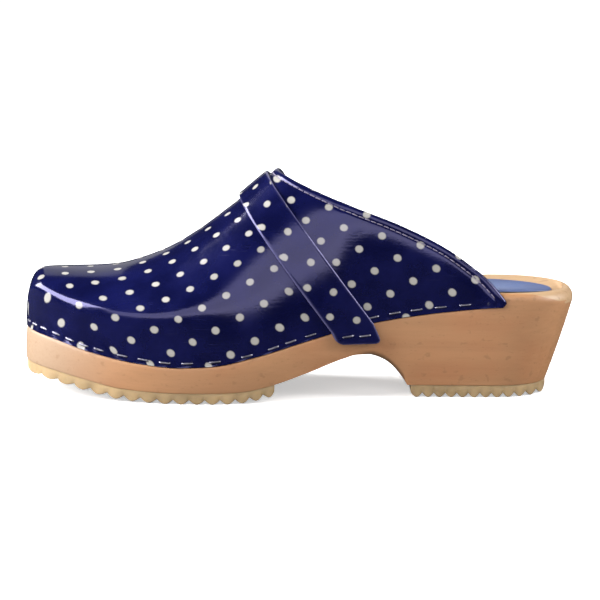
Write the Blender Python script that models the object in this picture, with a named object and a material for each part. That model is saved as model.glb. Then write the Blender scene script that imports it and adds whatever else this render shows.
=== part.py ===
"""Open-back clog for the left foot: a wooden sole on two ribbed rubber treads, a leather upper
stapled into a rebate round the sole, a strap over the instep and a leather pad on the heel seat.

The scene is in metres, +Z up, and the clog stands on Z = 0. The toe points along -X and the outer
(lateral) side faces -Y. Sizes below are in millimetres. A station is a distance from the heel end.
"""

import bmesh
import bpy
import numpy as np

MM = 0.001

# Driving sizes
LENGTH = 258.0
SEAT_GAP = 0.3
LATERAL, MEDIAL = -1, 1

# Plan of the sole, as half widths each side of the long axis and the stations where they lie
HALF_PLAN = {
    LATERAL: dict(
        heel_at=36.0, heel=32.5, waist_at=84.0, waist=31.0, ball_at=172.0, ball=48.5, toe_power=2.15,
    ),
    MEDIAL: dict(
        heel_at=36.0, heel=32.5, waist_at=92.0, waist=29.5, ball_at=186.0, ball=47.0, toe_power=2.25,
    ),
}
HEEL_POWER = 2.5
HEEL_ROUND_TO = 36.0
TOE_ROUND_FROM = 190.0
TOE_TIP_Y = 6.0

# Side view of the wood: the ledge carries the lower edge of the upper, the rim edges the footbed
SOLE_SIDE = (
    # station, ledge, rim
    (0.0, 43.6, 48.6),
    (36.0, 42.5, 49.0),
    (62.0, 40.2, 48.4),
    (84.0, 37.2, 45.2),
    (106.0, 33.0, 41.0),
    (128.0, 27.3, 35.3),
    (150.0, 21.4, 29.4),
    (170.0, 17.6, 25.6),
    (186.0, 17.0, 25.0),
    (205.0, 18.6, 26.5),
    (227.0, 22.6, 30.4),
    (244.0, 26.8, 34.4),
    (258.0, 29.0, 36.6),
)
HEEL_BASE = 5.7
BREAST_AT = 79.6
ARCH = (
    # station, underside
    (79.6, 5.7),
    (82.2, 9.6),
    (85.2, 13.4),
    (88.9, 16.8),
    (92.5, 18.8),
    (98.0, 20.4),
    (103.0, 20.4),
    (109.0, 19.0),
    (126.5, 12.9),
    (143.0, 7.9),
    (156.0, 5.6),
    (166.0, 5.2),
    (187.0, 5.2),
    (211.0, 6.3),
    (228.0, 9.3),
    (244.0, 12.2),
    (258.0, 13.8),
)
HEEL_UNDERCUT = 11.2
HEEL_TAPER = 2.6
FOREFOOT_TAPER = 0.8
TOE_TAPER = -0.6
REBATE = 2.4
REBATE_LEAN = 1.2
REBATE_RUN_OUT = 16.0
RIM_ROUND = 3.0
REAR_RIM_ROUND = 6.0
FOOTBED_DISH = 3.0
RIM_FACET = 0.3
FOOTBED_SHARES = (0.13, 0.3, 0.5, 0.7, 0.87)

# Rings of the sole: the first one's share of a rounded end, how many there are, and those at the breast
END_SHARE, END_RINGS = 0.06, 11
HEEL_RINGS = 6
BREAST_RINGS = (82.3, 85.3, 89.0, 93.0, 97.5, 102.5)
WAIST_FROM, WAIST_RINGS = 108.0, 13

# Treads: a base with ribs across it, cut to the outline of the wood
TREADS = {
    # name: rear and front stations, ribs and how they widen forwards, base and rib heights, rise at the rear
    "forefoot_tread": dict(
        rear=141.0, front=257.6, ribs=16, widening=1.12, base=2.8, rib=2.1, rear_rise=0.0,
    ),
    "heel_tread": dict(
        rear=14.2, front=78.0, ribs=12, widening=1.0, base=3.3, rib=2.1, rear_rise=0.5,
    ),
}
TREAD_INSET = 0.4
RIB_LAND = 0.34
HEEL_RISE_TO = 44.0
OUTLINE_STEPS, OUTLINE_MARGIN = 500, 0.2

# Upper: its crown line runs from the toe over the instep, and on behind the throat as the last does
WALL = 2.2
HEM_EXTRA = 1.0
HEM_WIDTH = 8.0
HEM_OVER_RIM = 3.0
CROWN = (
    # station, crown height, crown offset to the medial side, power of the section
    (30.0, 212.0, 2.0, 2.1),
    (62.0, 195.0, 2.0, 2.1),
    (95.0, 160.0, 2.5, 2.1),
    (104.0, 140.0, 2.7, 2.1),
    (112.0, 122.0, 2.9, 2.1),
    (117.0, 117.5, 3.0, 2.1),
    (139.5, 103.4, 3.5, 2.1),
    (162.0, 85.0, 4.0, 2.2),
    (178.0, 73.0, 4.5, 2.35),
    (190.0, 65.9, 5.0, 2.45),
    (203.0, 60.8, 5.3, 2.55),
    (215.0, 57.6, 5.6, 2.6),
    (228.0, 56.5, 5.8, 2.6),
    (258.0, 56.0, 6.0, 2.6),
)
TOE_CROWN_RUN = 11.0
TOE_CROWN_POWER = 2.9
SHOULDER = (
    # station, height of the shoulder as a share of the section's, how far the section takes that shape
    (140.0, 0.27, 0.0),
    (172.0, 0.43, 0.85),
    (185.0, 0.48, 1.0),
    (200.0, 0.53, 1.0),
    (224.0, 0.63, 1.0),
    (236.0, 0.67, 1.0),
    (250.0, 0.78, 1.0),
    (258.0, 0.85, 1.0),
)
SHOULDER_SHARP = 30.0
WALL_LEAN = 0.05
THROAT_AT = 139.5
TOPLINE = (
    # station, height of the lateral edge
    (33.0, 43.0),
    (36.0, 47.0),
    (45.7, 57.4),
    (51.0, 61.7),
    (62.0, 69.4),
    (84.0, 80.5),
    (106.0, 89.3),
    (128.0, 98.5),
    (139.5, 103.4),
)
MEDIAL_WING_SHORTER = 14.0
MEDIAL_WING_LOWER = 7.0
MEDIAL_LOWER_RUN = 7.0
WING_CORNER = 3.0
UPPER_ROWS, UPPER_COLUMNS, ROW_CROWDING = 26, 36, 1.8
GIRTH_STEPS = 161
HALVINGS = 48

# Strap over the instep, seen from the side as a straight band that leans towards the toe
STRAP = 1.8
STRAP_GAP = 0.45
STRAP_REAR = dict(low_at=95.0, low=34.5, high_at=143.7, high=100.5)
STRAP_FRONT = dict(low_at=115.0, low=31.5, high_at=157.2, high=90.0)
TAB_BOTTOM = 25.8
TAB_CORNER = 3.2
TAB_STEP_FROM, TAB_STEP_TO = 5.0, 1.2
TAB_LEAN = 0.6
STRAP_SEARCH_BEHIND, STRAP_SEARCH_AHEAD = 20.0, 30.0
STRAP_ALONG, STRAP_TAB_STEPS, STRAP_ACROSS = 36, 5, 8

# Pad on the heel seat
PAD = 0.9
PAD_GAP = 0.55
PAD_REAR, PAD_FRONT = 11.0, 94.0
PAD_HALF = 19.5
PAD_ROUND = 2.1
PAD_TURNS = 40
PAD_SHARES = (0.3, 0.6, 0.85, 1.0)

# Points closer than this fall together, and edges sharper than this stay sharp
WELD = 1e-6
SHARP = 40.0

# Colours as linear values, with roughness
NAVY_LEATHER = ((0.014, 0.016, 0.115), 0.22)
ALDER = ((0.50, 0.25, 0.11), 0.55)
HONEY_RUBBER = ((0.48, 0.35, 0.13), 0.45)
BLUE_PAD = ((0.10, 0.20, 0.52), 0.6)


# Curves and plan

def smooth(t):
    t = np.clip(t, 0.0, 1.0)
    return t * t * (3.0 - 2.0 * t)


def through(table, column):
    """A curve through one column of a table that doesn't swing past its rows."""
    at = np.array([row[0] for row in table])
    value = np.array([row[column] for row in table])
    run = np.diff(at)
    pitch = np.diff(value) / run
    slope = np.concatenate([pitch[:1], np.zeros(len(at) - 2), pitch[-1:]])
    for i in range(1, len(at) - 1):
        if pitch[i - 1] * pitch[i] > 0:
            before = 2 * run[i] + run[i - 1]
            after = run[i] + 2 * run[i - 1]
            slope[i] = (before + after) / (before / pitch[i - 1] + after / pitch[i])

    def curve(s):
        s = np.clip(np.asarray(s, float), at[0], at[-1])
        i = np.clip(np.searchsorted(at, s) - 1, 0, len(run) - 1)
        t = (s - at[i]) / run[i]
        rise = value[i] * (1 + 2 * t) * (1 - t) ** 2 + value[i + 1] * t * t * (3 - 2 * t)
        return rise + run[i] * t * (1 - t) * (slope[i] * (1 - t) - slope[i + 1] * t)

    return curve


ledge = through(SOLE_SIDE, 1)
rim = through(SOLE_SIDE, 2)
arch = through(ARCH, 1)
crown = through(CROWN, 1)
crown_y = through(CROWN, 2)
section_power = through(CROWN, 3)
shoulder = through(SHOULDER, 1)
shouldered = through(SHOULDER, 2)
lateral_topline = through(TOPLINE, 1)


def round_end(reach, power):
    """Share of a half width that is left at a share of the reach towards a rounded end."""
    return (1.0 - np.clip(reach, 0.0, 1.0) ** power) ** (1.0 / power)


def plan(s, side, grow=0.0):
    """Station and Y of the outline at a nominal station, with the outline moved out by grow."""
    s = np.asarray(s, float)
    size = HALF_PLAN[side]
    heel_share = (HEEL_ROUND_TO + grow) / HEEL_ROUND_TO
    toe_share = (LENGTH + grow - TOE_ROUND_FROM) / (LENGTH - TOE_ROUND_FROM)
    at = np.where(s < HEEL_ROUND_TO, HEEL_ROUND_TO - (HEEL_ROUND_TO - s) * heel_share, s)
    at = np.where(s > TOE_ROUND_FROM, TOE_ROUND_FROM + (s - TOE_ROUND_FROM) * toe_share, at)
    heel = size["heel"] + grow
    waist = size["waist"] + grow
    ball = size["ball"] + grow
    toe_reach = (at - size["ball_at"]) / (LENGTH + grow - size["ball_at"])
    rear = heel * round_end((HEEL_ROUND_TO - at) / (HEEL_ROUND_TO + grow), HEEL_POWER)
    shank = heel + (waist - heel) * smooth((at - size["heel_at"]) / (size["waist_at"] - size["heel_at"]))
    joint = waist + (ball - waist) * smooth((at - size["waist_at"]) / (size["ball_at"] - size["waist_at"]))
    toe = ball * round_end(toe_reach, size["toe_power"]) + side * TOE_TIP_Y * smooth(toe_reach)
    half = np.where(at < size["heel_at"], rear, np.where(at < size["waist_at"], shank, joint))
    return at, side * np.where(at > size["ball_at"], toe, half)


def wing_end(side):
    """Station where the upper's lower edge ends on one side."""
    return TOPLINE[0][0] + (MEDIAL_WING_SHORTER if side == MEDIAL else 0.0)


def rebate(s, side):
    """Share of the rebate's full depth, which runs out under the end of the wing."""
    return smooth((np.asarray(s, float) - wing_end(side)) / REBATE_RUN_OUT)


def underside(s):
    s = np.asarray(s, float)
    return np.where(s <= BREAST_AT, HEEL_BASE, arch(s))


def rim_round(s):
    """Radius of the worn edge of the footbed, which is larger round the back of the heel."""
    return RIM_ROUND + (REAR_RIM_ROUND - RIM_ROUND) * smooth(1.0 - np.asarray(s, float) / HEEL_ROUND_TO)


def footbed(s, y):
    """Height of the dished footbed behind the wings."""
    left = plan(s, LATERAL, -RIM_ROUND)[1]
    right = plan(s, MEDIAL, -RIM_ROUND)[1]
    share = np.clip((y - left) / np.maximum(right - left, 1.0), 0.0, 1.0)
    return rim(s) - FOOTBED_DISH * 4.0 * share * (1.0 - share)


# Meshes

def point(s, y, z):
    """A point of the mesh, in metres, from a station, a Y and a height in millimetres."""
    return (-float(s) * MM, float(y) * MM, float(z) * MM)


def add_object(name, mesh, finish):
    colour, roughness = finish
    material = bpy.data.materials.new(name)
    material.use_nodes = True
    shader = material.node_tree.nodes["Principled BSDF"]
    shader.inputs["Base Color"].default_value = (*colour, 1.0)
    shader.inputs["Roughness"].default_value = roughness
    mesh.materials.append(material)
    mesh.shade_smooth()
    mesh.set_sharp_from_angle(angle=np.radians(SHARP))
    made = bpy.data.objects.new(name, mesh)
    bpy.context.scene.collection.objects.link(made)
    return made


def mesh_of(name, bm):
    """Welds points that fall together, such as where the rebate has run out, and makes the mesh."""
    bmesh.ops.remove_doubles(bm, verts=bm.verts, dist=WELD)
    bmesh.ops.recalc_face_normals(bm, faces=bm.faces)
    mesh = bpy.data.meshes.new(name)
    bm.to_mesh(mesh)
    bm.free()
    return mesh


def loft(name, rings):
    """A closed solid through rings of points that run up one side and down the other, with capped ends."""
    bm = bmesh.new()
    loops = [[bm.verts.new(point(*p)) for p in ring] for ring in rings]
    for one, two in zip(loops, loops[1:]):
        for i in range(len(one)):
            j = (i + 1) % len(one)
            bm.faces.new((one[i], one[j], two[j], two[i]))
    for ring in (loops[0], loops[-1]):
        near = 0
        far = len(ring) - 1
        while far - near > 1:
            corners = dict.fromkeys((ring[near], ring[near + 1], ring[far - 1], ring[far]))
            bm.faces.new(tuple(corners))
            near += 1
            far -= 1
    return mesh_of(name, bm)


def sheet(name, grid, tip=None):
    """An open sheet through rows of points, drawn together at a tip ahead of the first row if given."""
    bm = bmesh.new()
    rows = [[bm.verts.new(point(*p)) for p in row] for row in grid]
    for one, two in zip(rows, rows[1:]):
        for i in range(len(one) - 1):
            bm.faces.new((one[i], two[i], two[i + 1], one[i + 1]))
    if tip is not None:
        end = bm.verts.new(point(*tip))
        for a, b in zip(rows[0], rows[0][1:]):
            bm.faces.new((end, a, b))
    return mesh_of(name, bm)


def thicken(made, thickness, outward, weights=None):
    """Gives a sheet its thickness on one side, by the share in weights at each point if given."""
    solidify = made.modifiers.new("thickness", "SOLIDIFY")
    solidify.thickness = thickness * MM
    solidify.offset = 1.0 if outward else -1.0
    if weights is not None:
        group = made.vertex_groups.new(name="thickness")
        for index, weight in enumerate(weights):
            group.add([index], float(weight), "REPLACE")
        solidify.vertex_group = group.name
    return solidify


def stations():
    """Stations of the sole's rings, close together round the heel and the toe."""
    quarter = np.linspace(END_SHARE, 1.0, END_RINGS) * np.pi / 2
    heel = HEEL_ROUND_TO * (1.0 - np.cos(quarter))
    toe = LENGTH - (LENGTH - TOE_ROUND_FROM) * (1.0 - np.cos(quarter[::-1]))
    seat = np.linspace(HEEL_ROUND_TO, BREAST_AT, HEEL_RINGS)[1:]
    waist = np.linspace(WAIST_FROM, TOE_ROUND_FROM, WAIST_RINGS)[:-1]
    return np.concatenate([heel, seat, BREAST_RINGS, waist, toe])


# Wooden sole

def heel_shift(s, z):
    """How far the undercut back of the heel has moved a point forward at a height."""
    share = (rim(s) - z) / (rim(s) - HEEL_BASE)
    return HEEL_UNDERCUT * share * np.clip(1.0 - s / BREAST_AT, 0.0, 1.0)


def taper(s):
    """How far the foot of the sole's side lies inside its ledge."""
    toe_share = smooth((s - TOE_ROUND_FROM) / (LENGTH - TOE_ROUND_FROM))
    front = FOREFOOT_TAPER + (TOE_TAPER - FOREFOOT_TAPER) * toe_share
    return HEEL_TAPER + (front - HEEL_TAPER) * smooth((s - BREAST_AT) / HEEL_ROUND_TO)


def sole_point(s, side, grow, z):
    at, y = plan(s, side, grow)
    return (at + heel_shift(s, z), y, z)


def sole_side(s, side):
    """Points up one side of the sole, from its underside over the rebate to the edge of the footbed."""
    cut = REBATE * rebate(s, side)
    wall = cut + REBATE_LEAN * rebate(s, side)
    low = float(underside(s))
    top = float(rim(s))
    edge = float(rim_round(s))
    foot = min(float(ledge(s)), top - edge - SEAT_GAP)
    return [
        sole_point(s, side, -taper(s), low),
        sole_point(s, side, 0.0, foot),
        sole_point(s, side, -cut, foot),
        sole_point(s, side, -wall, top - edge),
        sole_point(s, side, -wall - RIM_FACET * edge, top - RIM_FACET * edge),
        sole_point(s, side, -wall - edge, top),
    ]


def sole_ring(s):
    lateral = sole_side(s, LATERAL)
    medial = sole_side(s, MEDIAL)
    left = np.array(lateral[-1])
    right = np.array(medial[-1])
    over = [left + (right - left) * share for share in FOOTBED_SHARES]
    dish = [FOOTBED_DISH * 4.0 * share * (1.0 - share) for share in FOOTBED_SHARES]
    return lateral + [(at, y, z - drop) for (at, y, z), drop in zip(over, dish)] + medial[::-1]


def make_sole():
    return add_object("wooden_sole", loft("wooden_sole", [sole_ring(s) for s in stations()]), ALDER)


# Rubber treads

def rib_station(tread, ribs):
    """Station at a count of ribs from the rear of a tread."""
    return tread["rear"] + (tread["front"] - tread["rear"]) * (ribs / tread["ribs"]) ** tread["widening"]


def rib_profile(tread):
    """Corners of the ribs from rear to front: station, station that the depth is set at, depth."""
    shallow = tread["base"]
    deep = shallow + tread["rib"]
    corners = [(tread["rear"], tread["rear"], shallow)]
    for i in range(tread["ribs"]):
        start, middle, end = (rib_station(tread, i + share) for share in (0.0, 0.5, 1.0))
        half_land = 0.5 * RIB_LAND * (end - start)
        corners.append((middle - half_land, middle, deep))
        corners.append((middle + half_land, middle, deep))
        corners.append((end, end, shallow))
    return corners


def tread_half_widths(s_low):
    """Lateral and medial Y of a tread at a station of the underside."""
    s = np.linspace(OUTLINE_MARGIN, LENGTH - OUTLINE_MARGIN, OUTLINE_STEPS)
    inset = -taper(s) - TREAD_INSET
    shift = HEEL_UNDERCUT * np.clip(1.0 - s / BREAST_AT, 0.0, 1.0)
    sides = [plan(s, side, inset) for side in (LATERAL, MEDIAL)]
    return [float(np.interp(s_low, at + shift, y)) for at, y in sides]


def tread_ring(tread, s_low, set_at, depth):
    left, right = tread_half_widths(s_low)
    top = float(underside(s_low)) - SEAT_GAP
    rise = tread["rear_rise"] * smooth((HEEL_RISE_TO - set_at) / HEEL_RISE_TO)
    floor = float(underside(set_at)) - SEAT_GAP - depth + rise
    return [(s_low, left, top), (s_low, left, floor), (s_low, right, floor), (s_low, right, top)]


def make_tread(name):
    tread = TREADS[name]
    rings = [tread_ring(tread, *corner) for corner in rib_profile(tread)]
    return add_object(name, loft(name, rings), HONEY_RUBBER)


# Upper

def proud(s, side):
    """How far the outside of the upper stands out from the wood's outline at its lower edge."""
    return WALL + SEAT_GAP - REBATE * rebate(s, side)


def section(s, turn):
    """Shares of a section's half width and height at a turn from its ridge to its lower edge.

    Over the instep the section is an oval. Towards the toe it has an upright wall, a shoulder and a roof.
    """
    power = 2.0 / section_power(s)
    across = np.sin(turn)
    up = np.clip(np.cos(turn), 0.0, 1.0)
    high = shoulder(s)
    roof_half = (1.0 - WALL_LEAN * high) / np.sqrt(1.0 - high**2)
    wall = across + WALL_LEAN * up
    roof = np.hypot(across / roof_half, up)
    reach = (wall**SHOULDER_SHARP + roof**SHOULDER_SHARP) ** (-1.0 / SHOULDER_SHARP)
    share = shouldered(s)
    return (
        across**power + (reach * across - across**power) * share,
        up**power + (reach * up - up**power) * share,
    )


def last_point(s, v):
    """Station, Y and height on the upper's outside, where v is -1 at the lateral edge and 1 at the medial."""
    s, v = np.broadcast_arrays(np.asarray(s, float), np.asarray(v, float))
    low = ledge(s) + SEAT_GAP
    tip = LENGTH + proud(LENGTH, LATERAL)
    height = (crown(s) - low) * round_end(1.0 - (tip - s) / TOE_CROWN_RUN, TOE_CROWN_POWER)
    middle = crown_y(s)
    half = np.zeros_like(s)
    stretch = (LENGTH - TOE_ROUND_FROM) / (tip - TOE_ROUND_FROM)
    base = np.where(s > TOE_ROUND_FROM, TOE_ROUND_FROM + (s - TOE_ROUND_FROM) * stretch, s)
    for side in (LATERAL, MEDIAL):
        edge = plan(base, side, proud(LENGTH, side))[1] + side * (proud(s, side) - proud(LENGTH, side))
        half = np.where(v * side > 0, np.abs(edge - middle), half)
    across, up = section(s, np.abs(v) * np.pi / 2)
    return s, middle + np.sign(v) * half * across, low + height * up


def topline(s, side):
    """Height of the upper's rear edge. The medial wing is shorter and lower, and alike at the throat."""
    if side == LATERAL:
        return lateral_topline(s)
    run = THROAT_AT - TOPLINE[0][0]
    ahead = THROAT_AT - s
    drop = MEDIAL_WING_LOWER * smooth(ahead / MEDIAL_LOWER_RUN)
    return lateral_topline(THROAT_AT - ahead * run / (run - MEDIAL_WING_SHORTER)) - drop


def meeting(v, height_of, low, high):
    """Station, for each v, where the upper's outside meets a line that falls towards the heel."""
    low = np.full_like(v, low)
    high = np.full_like(v, high)
    for _ in range(HALVINGS):
        middle = 0.5 * (low + high)
        above = last_point(middle, v)[2] > height_of(middle)
        low = np.where(above, middle, low)
        high = np.where(above, high, middle)
    return 0.5 * (low + high)


def topline_station(v):
    """Station of the rear edge for each v, with the wings' lower corners rounded."""
    found = np.zeros_like(v)
    for side in (LATERAL, MEDIAL):
        at = meeting(v, lambda s: topline(s, side), wing_end(side), THROAT_AT)
        above = np.clip(last_point(at, v)[2] - ledge(at) - SEAT_GAP, 0.0, WING_CORNER)
        at = at + WING_CORNER - np.sqrt(WING_CORNER**2 - (WING_CORNER - above) ** 2)
        found = np.where(v * side >= 0, at, found)
    return found


def evenly(points, count):
    """Resamples a row of points at equal steps along it."""
    walked = np.concatenate([[0.0], np.cumsum(np.linalg.norm(np.diff(points, axis=0), axis=1))])
    steps = np.linspace(0.0, walked[-1], count)
    return np.stack([np.interp(steps, walked, points[:, axis]) for axis in range(3)], axis=1)


def upper_grid():
    """Rows of the upper's outside, from just behind the toe tip to the rear edge."""
    v = np.linspace(-1.0, 1.0, GIRTH_STEPS)
    rear = topline_station(v)
    tip = LENGTH + proud(LENGTH, LATERAL)
    rows = []
    for share in (np.arange(1, UPPER_ROWS + 1) / UPPER_ROWS) ** ROW_CROWDING:
        points = np.stack(last_point(tip - (tip - rear) * share, v), axis=1)
        rows.append(evenly(points, UPPER_COLUMNS + 1))
    return np.array(rows)


def make_upper():
    grid = upper_grid()
    tip = (LENGTH + proud(LENGTH, LATERAL), TOE_TIP_Y, ledge(LENGTH) + SEAT_GAP)
    made = add_object("upper", sheet("upper", grid, tip), NAVY_LEATHER)
    from_edge = np.linalg.norm(grid - grid[-1], axis=2)
    over_rim = grid[:, :, 2] > rim(grid[:, :, 0]) + HEM_OVER_RIM
    turned = HEM_EXTRA * ((from_edge < HEM_WIDTH) & over_rim)
    share = np.append((WALL + turned).ravel(), WALL) / (WALL + HEM_EXTRA)
    thicken(made, WALL + HEM_EXTRA, outward=False, weights=share)
    return made


# Instep strap

def strap_line(edge):
    """Height of one edge of the strap at a station, as a straight line in side view."""
    pitch = (edge["high"] - edge["low"]) / (edge["high_at"] - edge["low_at"])
    return lambda s: edge["low"] + (np.asarray(s, float) - edge["low_at"]) * pitch


def strap_grid():
    """Rows across the strap's inner face, from one tab over the instep to the other."""
    v = np.linspace(-1.0, 1.0, GIRTH_STEPS)
    ahead = THROAT_AT + STRAP_SEARCH_AHEAD
    rear = meeting(v, strap_line(STRAP_REAR), STRAP_REAR["low_at"] - STRAP_SEARCH_BEHIND, ahead)
    front = meeting(v, strap_line(STRAP_FRONT), STRAP_FRONT["low_at"] - STRAP_SEARCH_BEHIND, ahead)
    width = STRAP_FRONT["low_at"] - STRAP_REAR["low_at"]
    columns = []
    for share in 0.5 - 0.5 * np.cos(np.linspace(0.0, np.pi, STRAP_ACROSS + 1)):
        over = np.stack(last_point(rear + (front - rear) * share, v), axis=1)
        over = evenly(over, STRAP_ALONG + 1)
        from_side = min(share, 1.0 - share) * width
        lift = TAB_CORNER - np.sqrt(TAB_CORNER**2 - max(TAB_CORNER - from_side, 0.0) ** 2)
        column = []
        for side, end in ((LATERAL, over[0]), (MEDIAL, over[-1])):
            steps = range(STRAP_TAB_STEPS, 0, -1)
            column.append([tab_point(end, side, share, lift, k / STRAP_TAB_STEPS) for k in steps])
        columns.append(column[0] + [tuple(p) for p in over] + column[1][::-1])
    return np.array(columns).transpose(1, 0, 2)


def tab_point(end, side, share, lift, step):
    """A point of a tab, a step of the way down from the upper's lower edge to the tab's end."""
    edges = (STRAP_REAR, STRAP_FRONT)
    leans = [(edge["high_at"] - edge["low_at"]) / (edge["high"] - edge["low"]) for edge in edges]
    lean = np.interp(share, (0.0, 1.0), leans)
    z = end[2] + (TAB_BOTTOM + lift - end[2]) * step
    s = end[0] - (end[2] - z) * lean * TAB_LEAN
    under = ledge(s) - z
    onto_wood = smooth((under - TAB_STEP_TO) / (TAB_STEP_FROM - TAB_STEP_TO))
    stand_off = proud(s, side) * (1.0 - onto_wood)
    return (s, plan(s, side, 0.0)[1] + side * stand_off, z)


def lifted(grid, amount):
    """A grid of points moved out along its normals."""
    normal = np.cross(np.gradient(grid, axis=1), np.gradient(grid, axis=0))
    normal /= np.linalg.norm(normal, axis=2, keepdims=True)
    outwards = np.sign(np.sum(normal[:, :, 1] * np.sign(grid[:, :, 1])))
    return grid + amount * outwards * normal


def make_strap():
    grid = lifted(strap_grid(), STRAP_GAP)
    made = add_object("instep_strap", sheet("instep_strap", grid), NAVY_LEATHER)
    thicken(made, STRAP, outward=True)
    return made


# Heel pad

def make_pad():
    """A leather pad on the heel seat, set in from its edge and rounded off under the arch."""
    middle = 0.5 * (PAD_REAR + PAD_FRONT)
    reach = middle - PAD_REAR
    turns = np.linspace(0.0, 2 * np.pi, PAD_TURNS, endpoint=False)
    rings = []
    for share in PAD_SHARES:
        ring = []
        for turn in turns:
            s = middle - share * reach * np.sign(np.cos(turn)) * abs(np.cos(turn)) ** (2 / PAD_ROUND)
            y = share * PAD_HALF * np.sign(np.sin(turn)) * abs(np.sin(turn)) ** (2 / PAD_ROUND)
            ring.append((s, y, footbed(s, y) + PAD_GAP))
        rings.append(ring + ring[:1])
    centre = (middle, 0.0, footbed(middle, 0.0) + PAD_GAP)
    made = add_object("heel_pad", sheet("heel_pad", rings, centre), BLUE_PAD)
    thicken(made, PAD, outward=True)
    return made


def stand_on_origin(pieces):
    """Puts the clog's bounding box over the origin, standing on Z = 0."""
    bpy.context.view_layer.update()
    graph = bpy.context.evaluated_depsgraph_get()
    corners = []
    for piece in pieces:
        evaluated = piece.evaluated_get(graph)
        corners += [tuple(vertex.co) for vertex in evaluated.to_mesh().vertices]
        evaluated.to_mesh_clear()
    low = np.min(corners, axis=0)
    high = np.max(corners, axis=0)
    clog = bpy.data.objects.new("clog", None)
    bpy.context.scene.collection.objects.link(clog)
    clog.location = (-0.5 * (low[0] + high[0]), -0.5 * (low[1] + high[1]), -low[2])
    for piece in pieces:
        piece.parent = clog


def main():
    for old in list(bpy.data.objects):
        bpy.data.objects.remove(old)
    pieces = [make_sole(), make_upper(), make_strap(), make_pad()]
    pieces += [make_tread(name) for name in TREADS]
    stand_on_origin(pieces)


main()
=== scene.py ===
"""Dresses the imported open-back clog in printed leather, carved wood and ribbed rubber, in a plain studio.

Sizes in the tables are in millimetres. A station is a distance from the heel end, the outer (lateral) side
of this left shoe faces -Y and its toe points along -X. On the upper, v runs round a section of the last,
from -1 at the lateral lower edge over 0 at the ridge to 1 at the medial lower edge.
"""

import bmesh
import bpy
import numpy as np
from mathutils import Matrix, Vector


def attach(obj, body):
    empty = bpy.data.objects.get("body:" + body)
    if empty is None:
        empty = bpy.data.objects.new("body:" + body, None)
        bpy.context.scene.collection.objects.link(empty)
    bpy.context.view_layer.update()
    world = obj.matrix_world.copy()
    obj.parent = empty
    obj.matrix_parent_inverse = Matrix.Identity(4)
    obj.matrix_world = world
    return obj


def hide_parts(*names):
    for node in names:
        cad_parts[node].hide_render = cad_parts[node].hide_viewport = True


bl_info = {
    "name": "Open-back clog",
    "version": (1, 0, 0),
    "blender": (4, 5, 0),
    "location": "3D View > Sidebar > Clog",
    "description": "Builds the finished surfaces of a wooden-soled leather clog around its packed frame",
    "category": "Object",
}

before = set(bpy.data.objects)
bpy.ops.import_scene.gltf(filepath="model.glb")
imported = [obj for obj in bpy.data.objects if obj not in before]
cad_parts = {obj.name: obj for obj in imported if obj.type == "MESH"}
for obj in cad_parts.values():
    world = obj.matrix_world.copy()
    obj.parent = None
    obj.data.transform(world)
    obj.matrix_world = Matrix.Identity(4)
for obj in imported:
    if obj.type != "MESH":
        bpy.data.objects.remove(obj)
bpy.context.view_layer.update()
BODY = "root"
MM = 0.001
WELD = 2e-6
TINY = 1e-9
SHARP = dict(leather=50.0, wood=35.0, soft=60.0)

# Where the frame's origin lies on the shoe
ORIGIN_AT = 130.01
ORIGIN_Y = 0.66

# Driving sizes, as in the part
LENGTH = 258.0
SEAT_GAP = 0.3
LATERAL, MEDIAL = -1, 1

# Plan of the sole, as half widths each side of the long axis and the stations where they lie
HALF_PLAN = {
    LATERAL: dict(
        heel_at=36.0, heel=32.5, waist_at=84.0, waist=31.0, ball_at=172.0, ball=48.5, toe_power=2.15,
    ),
    MEDIAL: dict(
        heel_at=36.0, heel=32.5, waist_at=92.0, waist=29.5, ball_at=186.0, ball=47.0, toe_power=2.25,
    ),
}
HEEL_POWER = 2.5
HEEL_ROUND_TO = 36.0
TOE_ROUND_FROM = 190.0
TOE_TIP_Y = 6.0

# Side view of the wood: the ledge carries the lower edge of the upper, the rim edges the footbed
SOLE_SIDE = (
    # station, ledge, rim
    (0.0, 43.6, 48.6),
    (36.0, 42.5, 49.0),
    (62.0, 40.2, 48.4),
    (84.0, 37.2, 45.2),
    (106.0, 33.0, 41.0),
    (128.0, 27.3, 35.3),
    (150.0, 21.4, 29.4),
    (170.0, 17.6, 25.6),
    (186.0, 17.0, 25.0),
    (205.0, 18.6, 26.5),
    (227.0, 22.6, 30.4),
    (244.0, 26.8, 34.4),
    (258.0, 29.0, 36.6),
)
HEEL_BASE = 5.7
BREAST_AT, BREAST_TO, WAIST_AT = 79.6, 92.5, 109.0
ARCH = (
    # station, underside
    (79.6, 5.7),
    (82.2, 9.6),
    (85.2, 13.4),
    (88.9, 16.8),
    (92.5, 18.8),
    (98.0, 20.4),
    (103.0, 20.4),
    (109.0, 19.0),
    (126.5, 12.9),
    (143.0, 7.9),
    (156.0, 5.6),
    (166.0, 5.2),
    (187.0, 5.2),
    (211.0, 6.3),
    (228.0, 9.3),
    (244.0, 12.2),
    (258.0, 13.8),
)
HEEL_UNDERCUT = 11.2
HEEL_TAPER = 2.6
FOREFOOT_TAPER = 0.8
TOE_TAPER = -0.6
REBATE = 2.4
REBATE_LEAN = 1.2
REBATE_RUN_OUT = 16.0
RIM_ROUND = 3.0
REAR_RIM_ROUND = 6.0
FOOTBED_DISH, FOOTBED_DEPTH, FOOTBED_NARROWEST = 3.0, 6.0, 1.0
WOOD_EASE = 0.35
LEDGE_EASE = 0.5
WOOD_BELLY = 0.35
BREAST_EASE, BREAST_SHADE, BREAST_RISE = 0.9, 3.6, 2.0
SANDED_TOP_LIT_RIM = (
    # station, how far below the top of the rim the paler wood reaches: sanded wood with painted top light
    (0.0, 4.8),
    (8.0, 4.4),
    (16.0, 2.3),
    (24.0, 0.3),
    (32.0, 0.0),
    (50.0, -0.3),
)

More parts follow.
